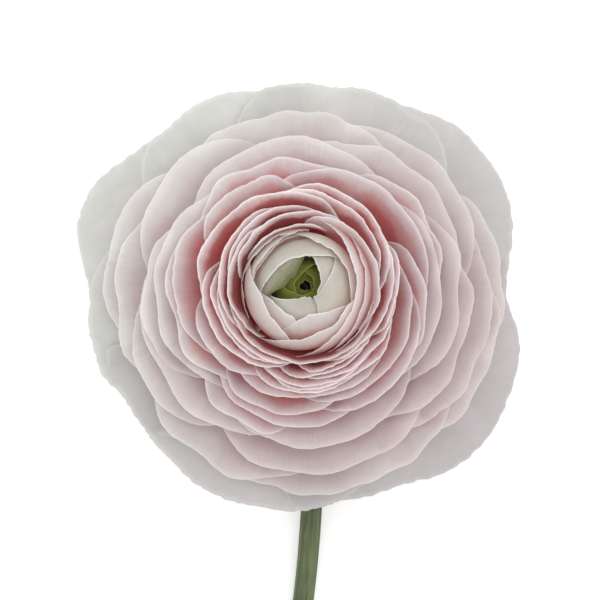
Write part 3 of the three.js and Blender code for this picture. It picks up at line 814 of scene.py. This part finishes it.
@dataclass
class Petal:
    """One petal: a thin sheet that leaves the receptacle by its claw and ends in a free edge."""

    name: str
    ring: Ring
    middle: float
    half: float
    shell: np.ndarray
    rim: tuple[float, float, float] | None
    seed: int
    head: Head
    seat: float = 0.0
    reach: np.ndarray | None = None

    # Places across a petal at which its reach is kept, and the search for the share of its profile that it fills
    SHARES = np.linspace(-1, 1, 121)
    LEAST_SHARE = 0.45
    HALVINGS = 14
    # The ball, its hollow top, the claws of its tightest petals and the tips of all its petals
    BALL_EQUATOR = 21.2
    BALL_CROWN = 0.82
    BALL_FULLNESS = 0.8
    CRATER_DEPTH = 3.1
    CRATER_RADIUS = 6.5
    CLOSE_CLAW = (0.55, 0.5)
    MOST_RIM = 0.99
    LEAST_RIM = 0.35
    TIP_FROM = 0.5
    TIP_POWER = 1.6
    TIP_CLOSENESS = 0.985
    # Open petals are drawn in between claw and rim, most just outside the ball, so that their rims flare
    FLARE_SHARE = 0.78
    FLARE_FROM = 12.8
    MOST_FLARE = 3.0
    FLARE_FADE = (18.0, 34.0)
    FLARE_STARTS = (0.15, 0.5)
    FLARE_ENDS = (0.6, 1.0)
    # Height and slope of the free edge from the ball out to the drooping petals, and the pulls of claw and rim
    CROWN_HEIGHT = 26.5
    CROWN_FALL = 24.5
    OPEN_RADII = (14.0, 45.0)
    DROOP_FROM = 46.0
    DROOP = 1.6
    DROOP_POWER = 1.5
    CLAW_SLOPE = 4.0
    RIM_SLOPES = (84.0, -26.0)
    DROOP_SLOPE = -8.0
    SLOPE_POWER = 0.72
    CLAW_PULLS = (1.2, 0.6)
    RIM_PULLS = (0.35, 0.42)
    # Outline: a narrow claw that opens to the widest part, with corners cut unevenly
    CLAW_SHARE = 0.13
    WIDEST_AT = 0.56
    CLAW_TAPER = 1.9
    MOST_TILT = 0.35
    # Columns crowd toward the sides and rows toward the rim, where the last rows draw its curl
    EVEN_COLUMNS = 0.45
    ROW_CROWDING = 0.85
    RIM_FROM = 0.962
    RIM_ROWS = (0.972, 0.981, 0.989, 0.995, 1.0)
    # Wavelength in millimetres and number of the waves, and the range of each wave's length, height and phase
    UNEVEN_WAVES = (14.0, 3)
    WAVE_COUNT = 3
    RIPPLE_SHARE = 0.8
    CRINKLES = (3.0, 4)
    FINE_CRINKLES = (1.2, 3)
    FINE_SHARE = 0.5
    PLEATS = (4.5, 4)
    PLEAT_SPREAD = (0.6, 1.0)
    WAVE_LENGTHS = (0.6, 1.6)
    WAVE_HEIGHTS = (0.4, 1.0)
    WAVE_PHASES = (0, 6.28)
    # Shares of the way from claw to rim, or from middle to side, over which each of them grows
    UNEVEN_ZONE = (0.3, 1.0)
    WAVE_ZONE = (0.45, 1.0)
    PLEAT_ZONE = (0.4, 0.9)
    CRINKLE_ZONE = (0.9, 1.0)
    LIFT_ZONE = (0.7, 1.0)
    SIDE_ZONE = (0.3, 0.95)
    # What the finish reads: the sides count as rim beyond half the length, and one direction gets the most painted
    # side shade, darker and pinker
    SIDE_STRETCH = 1.3
    SIDES_FROM = 0.5
    FAR_MM = 99.0
    MOST_SHADED_SIDE = 318.0
    # The sheet thins toward its rim
    FULL_RIM_MM = 0.6
    RIM_THINNESS = 0.4

    def share_at(self, direction: float) -> float | None:
        """Share of the half width at which the petal meets a direction, or None where it does not reach."""
        u = swing(self.middle, direction) / self.half
        return u if abs(u) <= 1 else None

    def open_profile(self, shell: np.ndarray, t: np.ndarray) -> tuple[np.ndarray, np.ndarray]:
        """Side view of an open petal, which leaves the receptacle flat, rises round the ball and opens at its rim.

        Args:
            shell: radius that the free edge reaches.
            t: share of the way from claw to edge.

        Returns:
            Radius and height.
        """
        inner, outer = self.OPEN_RADII
        spread = np.maximum(0, (shell - inner) / (outer - inner))
        beyond = np.maximum(0, shell - self.DROOP_FROM)
        top = self.CROWN_HEIGHT - self.CROWN_FALL * spread ** 2 - self.DROOP * beyond ** self.DROOP_POWER
        slope = np.radians(mix(self.RIM_SLOPES, spread ** self.SLOPE_POWER) + self.DROOP_SLOPE * beyond)
        start = self.head.receptacle_radius(self.seat) + self.head.seat_gap
        claw = mix(self.CLAW_PULLS, spread) * (shell - start)
        rim = mix(self.RIM_PULLS, spread) * np.hypot(shell - start, top - self.seat)
        turn = math.radians(self.CLAW_SLOPE)
        radius = cubic(t, start, start + claw * math.cos(turn), shell - rim * np.cos(slope), shell)
        height = cubic(t, self.seat, self.seat + claw * math.sin(turn), top - rim * np.sin(slope), top)
        flare = np.clip(self.FLARE_SHARE * (shell - self.FLARE_FROM), 0, self.MOST_FLARE)
        flare = flare * (1 - smooth(*self.FLARE_FADE, shell))
        return radius - flare * smooth(*self.FLARE_STARTS, t) * (1 - smooth(*self.FLARE_ENDS, t)), height

    def bud_profile(self, shell: np.ndarray, rim: np.ndarray, t: np.ndarray) -> tuple[np.ndarray, np.ndarray]:
        """Side view of a wrapped petal: out to the widest part of the ball, then over its top.

        Args:
            shell: radius at the widest part.
            rim: radius of the free edge on top.
            t: share of the way from claw to edge.

        Returns:
            Radius and height.
        """
        start = self.head.receptacle_radius(self.seat) + self.head.seat_gap
        start = min(start, self.CLOSE_CLAW[0] * float(np.min(shell)) + self.CLOSE_CLAW[1])
        end = math.pi - np.arcsin(np.minimum(self.MOST_RIM, rim / shell) ** (1 / self.BALL_FULLNESS))
        angle = t * end
        below = angle < math.pi / 2
        out = np.sin(angle)
        radius = np.where(below, start + (shell - start) * out, shell * np.abs(out) ** self.BALL_FULLNESS)
        height = np.where(
            below,
            self.BALL_EQUATOR - (self.BALL_EQUATOR - self.seat) * np.cos(angle),
            self.BALL_EQUATOR - self.BALL_CROWN * shell * np.cos(angle),
        )
        crater = self.CRATER_DEPTH * (1 - smooth(0.0, self.CRATER_RADIUS, radius))
        return radius, height - np.where(below, 0.0, crater)

    def rim_share(self, shell: np.ndarray, reach: np.ndarray) -> np.ndarray:
        """How far along its profile a petal ends, so that its free edge lies at a given radius.

        Args:
            shell: radius of the shell that the petal lies on.
            reach: radius of its free edge.

        Returns:
            Share of the profile, at most 1.
        """
        low, high = np.full_like(shell, self.LEAST_SHARE), np.ones_like(shell)
        for _ in range(self.HALVINGS):
            middle = (low + high) / 2
            short = self.open_profile(shell, middle)[0] < reach
            low, high = np.where(short, middle, low), np.where(short, high, middle)
        return high

    def waves(self, random: np.random.RandomState, across: np.ndarray, length: float, count: int) -> np.ndarray:
        """Sum of a few seeded waves across the petal.

        Args:
            random: seeded source of phases and strengths.
            across: place across the petal in millimetres.
            length: middle wavelength in millimetres.
            count: how many waves are added.

        Returns:
            Values around zero, mostly within one.
        """
        total = np.zeros_like(across)
        for _ in range(count):
            reach = length * random.uniform(*self.WAVE_LENGTHS)
            total += random.uniform(*self.WAVE_HEIGHTS) * np.sin(
                2 * math.pi * across / reach + random.uniform(*self.WAVE_PHASES)
            )
        return total / math.sqrt(count)

    def grid(self, form: Form) -> tuple[np.ndarray, np.ndarray, np.ndarray, np.ndarray]:
        """Middle surface of the petal.

        Args:
            form: shape of its ring.

        Returns:
            Points (rows, columns, 3) in millimetres, sheet coordinates, distance from the free edge, and how much
            painted side shade, darker and pinker, the flower gets there.
        """
        random = np.random.RandomState(self.seed)
        s = np.linspace(-1, 1, form.columns + 1)
        u = self.EVEN_COLUMNS * s + (1 - self.EVEN_COLUMNS) * np.sin(s * math.pi / 2)
        blade = np.linspace(0, 1, form.rows + 1 - len(self.RIM_ROWS)) ** self.ROW_CROWDING
        v = np.concatenate([self.RIM_FROM * blade, self.RIM_ROWS])
        u, v = np.meshgrid(u, v)
        opening = np.sin(math.pi / 2 * np.clip(v / self.WIDEST_AT, 0, 1)) ** self.CLAW_TAPER
        spread = u * (self.CLAW_SHARE + (1 - self.CLAW_SHARE) * opening)
        shell = through(self.shell, spread)
        direction = self.middle + self.half * spread
        width = np.radians(self.half) * float(np.mean(self.shell))
        across = u * width
        corner = 1 - np.sqrt(np.maximum(0.0, 1 - np.abs(u) ** form.corner_power))
        tilt = random.uniform(-self.MOST_TILT, self.MOST_TILT)
        top = 1 - form.corner * corner * (1 + tilt * u)
        top -= form.uneven * self.waves(random, across, *self.UNEVEN_WAVES) * smooth(*self.UNEVEN_ZONE, v)
        t = v * top
        near = smooth(*self.WAVE_ZONE, v) ** 2
        wave = form.wave * near * self.waves(random, across, form.wave_mm, self.WAVE_COUNT)
        if self.rim is None:
            ends = self.rim_share(through(self.shell, u[-1]), np.interp(u[-1], self.SHARES, self.reach))
            radius, height = self.open_profile(shell, t * ends)
            radius = radius + wave
        else:
            rim = through(self.rim, spread) + wave
            tip = np.clip((np.abs(spread) - self.TIP_FROM) / (1 - self.TIP_FROM), 0, 1) ** self.TIP_POWER
            rim = np.maximum(rim + (self.TIP_CLOSENESS * shell - rim) * tip, self.LEAST_RIM)
            radius, height = self.bud_profile(shell, rim, t)
        coarse = self.waves(random, across, *self.CRINKLES)
        fine = self.FINE_SHARE * self.waves(random, across, *self.FINE_CRINKLES)
        radius = radius + form.crinkle * smooth(*self.CRINKLE_ZONE, v) * (coarse + fine)
        radius = radius + form.curl * smooth(self.RIM_FROM, 1.0, v) ** 2
        ripple = self.waves(random, across, self.RIPPLE_SHARE * form.wave_mm, self.WAVE_COUNT)
        pleat = self.waves(random, across * mix(self.PLEAT_SPREAD, v), *self.PLEATS)
        height = height + form.lift * smooth(*self.LIFT_ZONE, v) * (1 - smooth(*self.SIDE_ZONE, np.abs(u)))
        height = height + form.ripple * near * ripple
        height = height + form.pleat * smooth(*self.PLEAT_ZONE, v) * pleat
        points = self.head.settle(radius, direction, height)
        steps = np.linalg.norm(np.diff(points, axis=0), axis=2)
        walked = np.vstack([np.zeros((1, steps.shape[1])), np.cumsum(steps, axis=0)])
        side = (1 - np.abs(u)) * width * self.SIDE_STRETCH
        away = np.minimum(walked[-1] - walked, np.where(v > self.SIDES_FROM, side, self.FAR_MM))
        # Painted side shade: the petals get darker and pinker the nearer they face one direction
        painted_side_shade = 0.5 + 0.5 * np.cos(np.radians(direction - self.MOST_SHADED_SIDE))
        return points, np.stack([across, walked], axis=-1), away, painted_side_shade

    def build(self, finish: PetalFinish, material: Material, nodes: dict) -> Object:
        """Make the petal as a closed sheet and dress it.

        Args:
            finish: the finish of its ring, not used here.
            material: the finish's material.
            nodes: the model's nodes by name.

        Returns:
            The finished piece.
        """
        form = FORMS[self.ring]
        middle, sheet, away, painted_side_shade = self.grid(form)
        thin = mix((self.RIM_THINNESS, 1), smooth(0.0, self.FULL_RIM_MM, away))
        points = both_sides(middle, (form.thickness * thin)[..., None])
        uv = np.concatenate([sheet.reshape(-1, 2)] * 2)
        # The finish reads the distance from the rim and the painted side shade
        marks = {name: np.tile(values.ravel(), 2) for name, values in (("rim", away), ("painted_side_shade", painted_side_shade))}
        piece = mesh_object(f"{self.name}_blade", points, sheet_faces(middle.shape), material, uv, marks)
        settle_piece(piece, (self.name,) if self.name in nodes else ())
        return piece


@dataclass
class Bloom:
    """All petals of the head, packed like nested shells round the receptacle."""

    head: Head
    pitch: float = 0.62
    bud_pitch: float = 0.3
    guard_pitch: float = 0.3
    tuck: float = 0.6
    taper_spread: float = 0.12
    taper_power: float = 2.0
    outline: tuple[float, ...] = OUTLINE
    outline_ease: int = 9
    reach_ease: int = 19
    rounds: int = 160
    step: int = 4
    close_claws: float = 24.0
    close_seat_step: float = 0.6
    seat_step: float = 0.5
    top_seat: float = 13.5
    lowest_seat: float = 0.2
    first_seed: int = 100
    taper_seed: int = 500
    special: dict[str, PetalFinish] = field(default_factory=lambda: OWN_FINISHES)
    petals: list[Petal] = field(default_factory=list)

    def read(self) -> None:
        """Turn the rows into petals, from the heart outward."""
        rows = [(*row, None) if len(row) == 4 else row for row in (*HEART_ROWS, *BUD_ROWS, *OPEN_ROWS)]
        for number, (name, start, end, shell, rim) in enumerate(rows):
            half = ((end - start) % 360) / 2
            ring = Ring(name.split("_")[0])
            wide = half * FORMS[ring].widened
            self.petals.append(
                Petal(name, ring, start + half, wide, np.array(shell, float), rim, self.first_seed + number, self.head)
            )

    def spread(self) -> None:
        """Ease petals that share a direction apart until their shells stand one pitch from each other."""
        for _ in range(self.rounds):
            for direction in range(0, 360, self.step):
                here = [(p, u) for p in self.petals if (u := p.share_at(direction)) is not None]
                for (inner, a), (outer, b) in zip(here, here[1:]):
                    pitch = self.pitch if inner.rim is None else self.bud_pitch
                    if inner.ring is Ring.GUARD:
                        pitch = self.guard_pitch
                    short = pitch - (through(outer.shell, b) - through(inner.shell, a))
                    if short > 0:
                        self.nudge(inner, a, -short / 2)
                        self.nudge(outer, b, short / 2)

    def trim(self) -> None:
        """Cut the ends of every open petal back under the petals inside it, so that its rim shows as a crescent."""
        directions = np.arange(360)
        covered = np.zeros(360)
        share = Petal.SHARES
        places = np.linspace(0, 360, len(self.outline), endpoint=False)
        lobes = self.eased(np.interp(directions, places, self.outline, period=360), self.outline_ease)
        for petal in self.petals:
            around = petal.middle + petal.half * share
            own = through(petal.shell, share)
            if petal.rim is None:
                random = np.random.RandomState(self.taper_seed + petal.seed)
                first, last = FORMS[petal.ring].taper_from + random.uniform(-self.taper_spread, self.taper_spread, 2)
                inner = np.interp(around, directions, self.eased(covered, self.reach_ease), period=360)
                begin = np.where(share < 0, first, last)
                taper = np.clip((np.abs(share) - begin) / (1 - begin), 0, 1) ** self.taper_power
                petal.reach = own - taper * np.maximum(0.0, own - inner + self.tuck)
                if petal.ring is Ring.GUARD:
                    petal.reach = np.minimum(petal.reach, np.interp(around, directions, lobes, period=360))
            reach = own if petal.reach is None else petal.reach
            u = swing(petal.middle, directions) / petal.half
            here = np.abs(u) <= 1
            covered[here] = np.maximum(covered[here], np.interp(u[here], share, reach))

    @staticmethod
    def eased(values: np.ndarray, width: int) -> np.ndarray:
        """Running mean, all the way round, of a value for each degree."""
        return np.convolve(np.tile(values, 3), np.ones(width) / width, "same")[360:720]

    @staticmethod
    def nudge(petal: Petal, u: float, amount: float) -> None:
        """Move a petal's shell at one place across it.

        Args:
            petal: the petal that moves.
            u: place across it, from -1 to 1.
            amount: how far, in millimetres outward.
        """
        weights = np.array([(u * u - u) / 2, 1 - u * u, (u * u + u) / 2])
        petal.shell += amount * weights / np.sum(weights ** 2)

    def sit(self) -> None:
        """Seat every petal below the ones it wraps, lower still where their claws stand in one line."""
        depths: list[float] = []
        for petal in self.petals:
            depth = 0.0
            for inner, above in zip(self.petals, depths):
                apart = abs(swing(inner.middle, petal.middle))
                if apart < petal.half + inner.half:
                    depth = max(depth, above + (self.close_seat_step if apart < self.close_claws else self.seat_step))
            depths.append(depth)
        deepest = max(depths)
        for petal, depth in zip(self.petals, depths):
            petal.seat = self.top_seat - (self.top_seat - self.lowest_seat) * depth / deepest

    def build(self, nodes: dict) -> None:
        """Pack, make and dress every petal.

        Args:
            nodes: the model's nodes by name.
        """
        self.read()
        self.spread()
        self.trim()
        self.sit()
        finishes = [self.finish_of(petal) for petal in self.petals]
        ready = {finish: finish.material() for finish in dict.fromkeys(finishes)}
        for petal, finish in zip(self.petals, finishes):
            petal.build(finish, ready[finish], nodes)

    def finish_of(self, petal: Petal) -> PetalFinish:
        """Choose a petal's finish by its ring, unless it has one of its own.

        Args:
            petal: the petal.

        Returns:
            Its finish.
        """
        if petal.name in self.special:
            return self.special[petal.name]
        if petal.name.startswith("bud_heart"):
            return HEART_PALE
        return RING_FINISHES[petal.ring]


@dataclass
class Calyx:
    """The sepals under the bloom, turned down toward the stem."""

    head: Head
    count: int = 5
    first: float = 54.0
    length: float = 12.0
    half_width: float = 3.4
    foot_width: float = 0.16
    outline_span: float = 0.8
    outline_fullness: float = 0.8
    thickness: float = 0.45
    top: float = -0.95
    slope: float = 0.2
    droop: float = 3.2
    cup: float = 0.35
    columns: int = 20
    rows: int = 26

    def build(self) -> None:
        """Make and dress the sepals and the receptacle they grow from."""
        skin = LEAF_SKIN.material()
        receptacle = frame["nodes"]["receptacle"]
        receptacle.data.materials.clear()
        receptacle.data.materials.append(skin)
        for number in range(self.count):
            self.sepal(number, skin)

    def sepal(self, number: int, skin: Material) -> None:
        """Make one sepal.

        Args:
            number: which sepal, from zero.
            skin: its material.
        """
        u, v = np.meshgrid(np.linspace(-1, 1, self.columns + 1), np.linspace(0, 1, self.rows + 1))
        outline = np.sin(math.pi * (self.foot_width + self.outline_span * v)) ** self.outline_fullness
        radius = self.head.receptacle_radii[0] + self.head.seat_gap + self.length * v
        cup = self.cup * (1 - u * u) * np.sin(math.pi * v)
        height = self.top - self.slope * v - self.droop * v * v - cup
        turned = np.degrees(u * self.half_width * outline / radius)
        middle = self.head.settle(radius, self.first + 360 / self.count * number + turned, height)
        name = f"sepal_{number + 1}"
        points = both_sides(middle, self.thickness)
        piece = mesh_object(f"{name}_blade", points, sheet_faces(middle.shape), skin)
        settle_piece(piece, (name,))


@dataclass
class Carpels:
    """The green head in the heart: a small cone covered with beaked carpels in a spiral."""

    count: int = 90
    turn: float = 137.5
    crowding: float = 0.5
    spread: float = 1.5
    beak_length: float = 0.9
    beak_radius: float = 0.36
    tip_radius: float = 0.05
    inset: float = 0.3
    height_share: float = 0.76
    sides: int = 6
    segments: int = 24
    rings: int = 16

    def build(self) -> None:
        """Grow the carpels on a cone of the model's own size and dress them."""
        low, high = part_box("carpel_head")
        centre = (low + high) / 2
        size = high - low
        # Dressed near black: painted shade, so that the hollow of the heart reads as a hole
        skin = CARPEL_SHADE_SKIN.material()
        tree, values = plan_growth("carpel_spiral", {
            "Count": self.count, "Turn": math.radians(self.turn), "Beak Length": self.beak_length * MM,
            "Beak Radius": self.beak_radius * MM, "Head Radius": (size.x + size.y) / 4 - self.inset * MM,
            "Head Height": size.z * self.height_share, "Skin": skin,
        })
        add = partial(add_node, tree)
        given = add("NodeGroupInput").outputs
        index = add("GeometryNodeInputIndex")
        # Each point stands a constant turn round from the last and one step lower on the head's side
        share = add("ShaderNodeMath", {0: index, 1: given["Count"]}, operation="DIVIDE")
        angle = add("ShaderNodeMath", {0: index, 1: given["Turn"]}, operation="MULTIPLY")
        lean = add("ShaderNodeMath", {0: share, 1: self.crowding}, operation="POWER")
        slope = add("ShaderNodeMath", {0: lean, 1: self.spread}, operation="MULTIPLY")
        out, up = (add("ShaderNodeMath", {0: slope}, operation=part) for part in ("SINE", "COSINE"))
        x, y = (
            add("ShaderNodeMath", {0: out, 1: add("ShaderNodeMath", {0: angle}, operation=part)}, operation="MULTIPLY")
            for part in ("COSINE", "SINE")
        )
        outward = add("ShaderNodeCombineXYZ", {"X": x, "Y": y, "Z": up})
        reach = add("ShaderNodeCombineXYZ", {
            "X": given["Head Radius"], "Y": given["Head Radius"], "Z": given["Head Height"],
        })
        place = add("ShaderNodeVectorMath", {0: outward, 1: reach}, operation="MULTIPLY")
        points = add("GeometryNodePoints", {"Count": given["Count"], "Position": place})
        beak = add("GeometryNodeMeshCone", {
            "Vertices": self.sides, "Side Segments": 2, "Radius Top": self.tip_radius * MM,
            "Radius Bottom": given["Beak Radius"], "Depth": given["Beak Length"],
        })
        facing = add("FunctionNodeAlignRotationToVector", {"Vector": outward}, axis="Z")
        grown = add("GeometryNodeInstanceOnPoints", {"Points": points, "Instance": beak, "Rotation": facing})
        ball = add("GeometryNodeMeshUVSphere", {"Segments": self.segments, "Rings": self.rings, "Radius": 1.0})
        body = add("GeometryNodeTransform", {"Geometry": ball, "Scale": reach})
        both = add("GeometryNodeJoinGeometry")
        for part in (grown, body):
            tree.links.new(part.outputs[0], both.inputs["Geometry"])
        piece = grow("carpel_head_blade", tree, values, both, skin)
        piece.data.transform(Matrix.Translation((centre.x, centre.y, low.z)))
        settle_piece(piece, ("carpel_head",))


@dataclass
class Stem:
    """The cut stem: a ribbed, slightly uneven tube that turns under the bloom and runs along the floor."""

    head: Head
    top_radius: float = 2.25
    end_radius: float = 2.0
    ribs: int = 11
    rib_depth: float = 0.05
    sides: int = 66
    step: float = 0.9
    lump: float = 0.09
    lump_mm: float = 9.0
    clearance: float = 0.05
    top: float = -2.6
    top_gap: float = 0.3
    points_between: int = 24
    neck: tuple[float, float, float] = (0.72, 0.2, -3.2)
    path: tuple[tuple[float, float, float], ...] = (
        (1.0, -2.6, 2.0), (1.5, -7.4, 0.15), (2.1, -16.0, 0.0), (2.5, -30.0, -0.02), (2.0, -46.0, -0.05),
        (0.4, -64.0, -0.09), (-3.4, -88.0, -0.14), (-8.6, -112.0, -0.19), (-14.6, -134.0, -0.25),
    )

    def line(self) -> np.ndarray:
        """Middle of the stem as one smooth curve through its corners.

        Returns:
            Points in metres, from the bloom to the cut end.
        """
        _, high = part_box("stem")
        origin = self.head.origin()
        floor = self.top_radius + self.clearance
        top = self.head.settle(np.array(0.0), np.array(0.0), np.array(self.top))
        top[2] = min(top[2], high.z / MM - self.top_gap)
        corners = [top, np.array([origin[0] + self.neck[0], origin[1] + self.neck[1], top[2] + self.neck[2]])]
        corners += [np.array([origin[0] + x, origin[1] + y, floor + over]) for x, y, over in self.path]
        ends = [2 * corners[0] - corners[1], *corners, 2 * corners[-1] - corners[-2]]
        points = []
        for a, b, c, d in zip(ends, ends[1:], ends[2:], ends[3:]):
            knots = np.cumsum([0.0] + [math.sqrt(float(np.linalg.norm(q - p))) for p, q in ((a, b), (b, c), (c, d))])
            places = np.linspace(knots[1], knots[2], self.points_between, endpoint=False)
            points += [self.blend((a, b, c, d), knots, t) for t in places]
        points.append(corners[-1])
        return np.array(points) * MM

    @staticmethod
    def blend(corners: tuple[np.ndarray, ...], knots: np.ndarray, t: float) -> np.ndarray:
        """Point of a centripetal curve through four corners.

        Args:
            corners: the four corners.
            knots: their places along the curve.
            t: the place that is asked for, between the second and third.

        Returns:
            The point.
        """
        def between(i: int, j: int, p: np.ndarray, q: np.ndarray) -> np.ndarray:
            """Point on the straight line through two points, at place t between two knots."""
            return ((knots[j] - t) * p + (t - knots[i]) * q) / (knots[j] - knots[i])

        a, b, c, d = corners
        first, middle, last = between(0, 1, a, b), between(1, 2, b, c), between(2, 3, c, d)
        return between(1, 2, between(0, 2, first, middle), between(1, 3, middle, last))

    def build(self) -> None:
        """Sweep the ribbed section along the line and dress the stem."""
        mesh = bpy.data.meshes.new("stem_line")
        line = self.line()
        mesh.from_pydata(line.tolist(), [(i, i + 1) for i in range(len(line) - 1)], [])
        skin = STEM_SKIN.material()
        tree, values = plan_growth("ribbed_sweep", {
            "Top Radius": self.top_radius * MM, "End Radius": self.end_radius * MM, "Ribs": float(self.ribs),
            "Rib Depth": self.rib_depth, "Sides": self.sides, "Step": self.step * MM, "Lump": self.lump * MM,
            "Lump Scale": 1 / (self.lump_mm * MM), "Skin": skin,
        })
        add = partial(add_node, tree)
        given = add("NodeGroupInput").outputs
        curve = add("GeometryNodeMeshToCurve", {"Mesh": given["Geometry"]})
        even = add("GeometryNodeResampleCurve", {"Curve": curve, "Length": given["Step"]}, mode="LENGTH")
        along = add("GeometryNodeSplineParameter").outputs
        girth = add("ShaderNodeMapRange", {
            "Value": along["Factor"], "To Min": given["Top Radius"], "To Max": given["End Radius"],
        })
        # The ribs are a wave round the section
        ring = add("GeometryNodeCurvePrimitiveCircle", {"Resolution": given["Sides"], "Radius": 1.0})
        around = add("GeometryNodeSplineParameter").outputs["Factor"]
        turns = add("ShaderNodeMath", {0: around, 1: math.tau}, operation="MULTIPLY")
        rib = add("ShaderNodeMath", {0: turns, 1: given["Ribs"]}, operation="MULTIPLY")
        swell = add("ShaderNodeMath", {0: rib}, operation="COSINE")
        depth = add("ShaderNodeMath", {0: swell, 1: given["Rib Depth"]}, operation="MULTIPLY")
        here = add("GeometryNodeInputPosition")
        push, flat = (
            add("ShaderNodeVectorMath", {0: here, "Scale": scale}, operation="SCALE")
            for scale in (depth, given["Top Radius"])
        )
        section = add("GeometryNodeSetPosition", {"Geometry": ring, "Offset": push})
        # Places along the stem and round its section are kept, so that the skin's streaks follow it
        parts = add("ShaderNodeSeparateXYZ", {"Vector": flat}).outputs
        shapes = {"path": even, "section": section}
        for mark, shape, value in (
            ("along", "path", along["Length"]), ("side", "section", parts["X"]), ("rise", "section", parts["Y"]),
        ):
            shapes[shape] = add("GeometryNodeStoreNamedAttribute", {
                "Geometry": shapes[shape], "Name": mark, "Value": value,
            }, data_type="FLOAT", domain="POINT")
        swept = add("GeometryNodeCurveToMesh", {
            "Curve": shapes["path"], "Profile Curve": shapes["section"], "Scale": girth, "Fill Caps": True,
        })
        # Slow swellings, as a grown stem has
        noise = add("ShaderNodeTexNoise", {"Scale": given["Lump Scale"], "Detail": 2.0})
        centred = add("ShaderNodeMath", {0: noise, 1: 0.5}, operation="SUBTRACT")
        much = add("ShaderNodeMath", {0: centred, 1: given["Lump"]}, operation="MULTIPLY")
        normal = add("GeometryNodeInputNormal")
        swelling = add("ShaderNodeVectorMath", {0: normal, "Scale": much}, operation="SCALE")
        grown = add("GeometryNodeSetPosition", {"Geometry": swept, "Offset": swelling})
        piece = grow("stem_ribbed", tree, values, grown, skin, mesh)
        settle_piece(piece, ("stem",))


@dataclass(frozen=True)
class Lamp:
    """A square soft light that faces the bloom: where it hangs and its side in metres, and its power in watts."""

    name: str
    place: tuple[float, float, float]
    size: float
    power: float

    BLOOM = Vector((0.0, 0.045, 0.03))

    def hang(self) -> None:
        """Put the light into the scene."""
        light = bpy.data.lights.new(self.name, "AREA")
        light.size = self.size
        light.energy = self.power
        lamp = bpy.data.objects.new(self.name, light)
        lamp.location = self.place
        lamp.rotation_euler = (self.BLOOM - Vector(self.place)).to_track_quat("-Z", "Y").to_euler()
        bpy.context.scene.collection.objects.link(lamp)


@dataclass
class Studio:
    """Plain pale floor, soft light and the camera straight above the open face."""

    head: Head
    scale_px_per_mm: float = 4.83
    picture_px: int = 600
    aim: tuple[float, float] = (-0.41, -1.45)
    rim_height: float = 40.0
    distance: float = 2000.0
    sensor: float = 36.0
    clip: tuple[float, float] = (0.05, 20.0)
    floor_half: float = 3.0
    floor_drop: float = 0.0001
    floor_grain: float = 60.0
    room_light: float = 0.81
    lamps: tuple[Lamp, ...] = (Lamp("key", (0.5, 0.2, 1.1), 1.0, 3.5), Lamp("fill", (-0.7, 0.5, 0.9), 0.9, 1.0))

    def build(self) -> None:
        """Set up floor, lights, world and camera."""
        self.floor()
        self.room()
        for lamp in self.lamps:
            lamp.hang()
        self.camera()

    def floor(self) -> None:
        """Lay a seamless near-white floor."""
        material, tree = new_material("floor_white_card")
        grain = add_node(tree, "ShaderNodeTexNoise", {"Scale": self.floor_grain})
        tone = add_node(tree, "ShaderNodeMapRange", {"Value": grain, "To Min": 0.9, "To Max": 0.93})
        surface = add_node(tree, "ShaderNodeBsdfPrincipled", {
            "Base Color": (0.92, 0.92, 0.92, 1.0), "Roughness": tone, "Emission Color": WHITE,
            "Emission Strength": 0.35,
        })
        add_node(tree, "ShaderNodeOutputMaterial", {"Surface": surface})
        corners = np.array([(-1, -1, 0), (1, -1, 0), (1, 1, 0), (-1, 1, 0)]) * self.floor_half
        corners[:, 2] -= self.floor_drop
        floor = mesh_object("floor", corners, [(0, 1, 2, 3)], material)

    def room(self) -> None:
        """Let a white room fill the shadows."""
        world = bpy.data.worlds.new("white_room")
        bpy.context.scene.world = world
        world.use_nodes = True
        light = world.node_tree.nodes["Background"].inputs
        light["Color"].default_value = WHITE
        light["Strength"].default_value = self.room_light

    def camera(self) -> None:
        """Look straight down with a long lens, the top of the picture toward +Y."""
        lens = bpy.data.cameras.new("overhead")
        lens.sensor_width = self.sensor
        lens.lens = self.sensor * self.distance / (self.picture_px / self.scale_px_per_mm)
        lens.clip_start, lens.clip_end = self.clip
        camera = bpy.data.objects.new("overhead", lens)
        origin = self.head.origin()
        camera.location = (
            (self.aim[0] + origin[0]) * MM, (self.aim[1] + origin[1]) * MM, (self.rim_height + self.distance) * MM,
        )
        bpy.context.scene.collection.objects.link(camera)
        bpy.context.scene.camera = camera


def main() -> None:
    """Build the flower and the studio in order."""
    logging.basicConfig(level=logging.INFO, format="%(message)s")
    scene = bpy.context.scene
    scene.view_settings.view_transform = "Standard"
    # Light goes many times from petal to petal before it leaves the folds
    scene.cycles.max_bounces = 16
    scene.cycles.diffuse_bounces = 12
    scene.cycles.transmission_bounces = 12
    head = Head()
    Studio(head).build()
    Bloom(head).build(frame["nodes"])
    Carpels().build()
    Calyx(head).build()
    Stem(head).build()


if __name__ == "__main__":
    main()
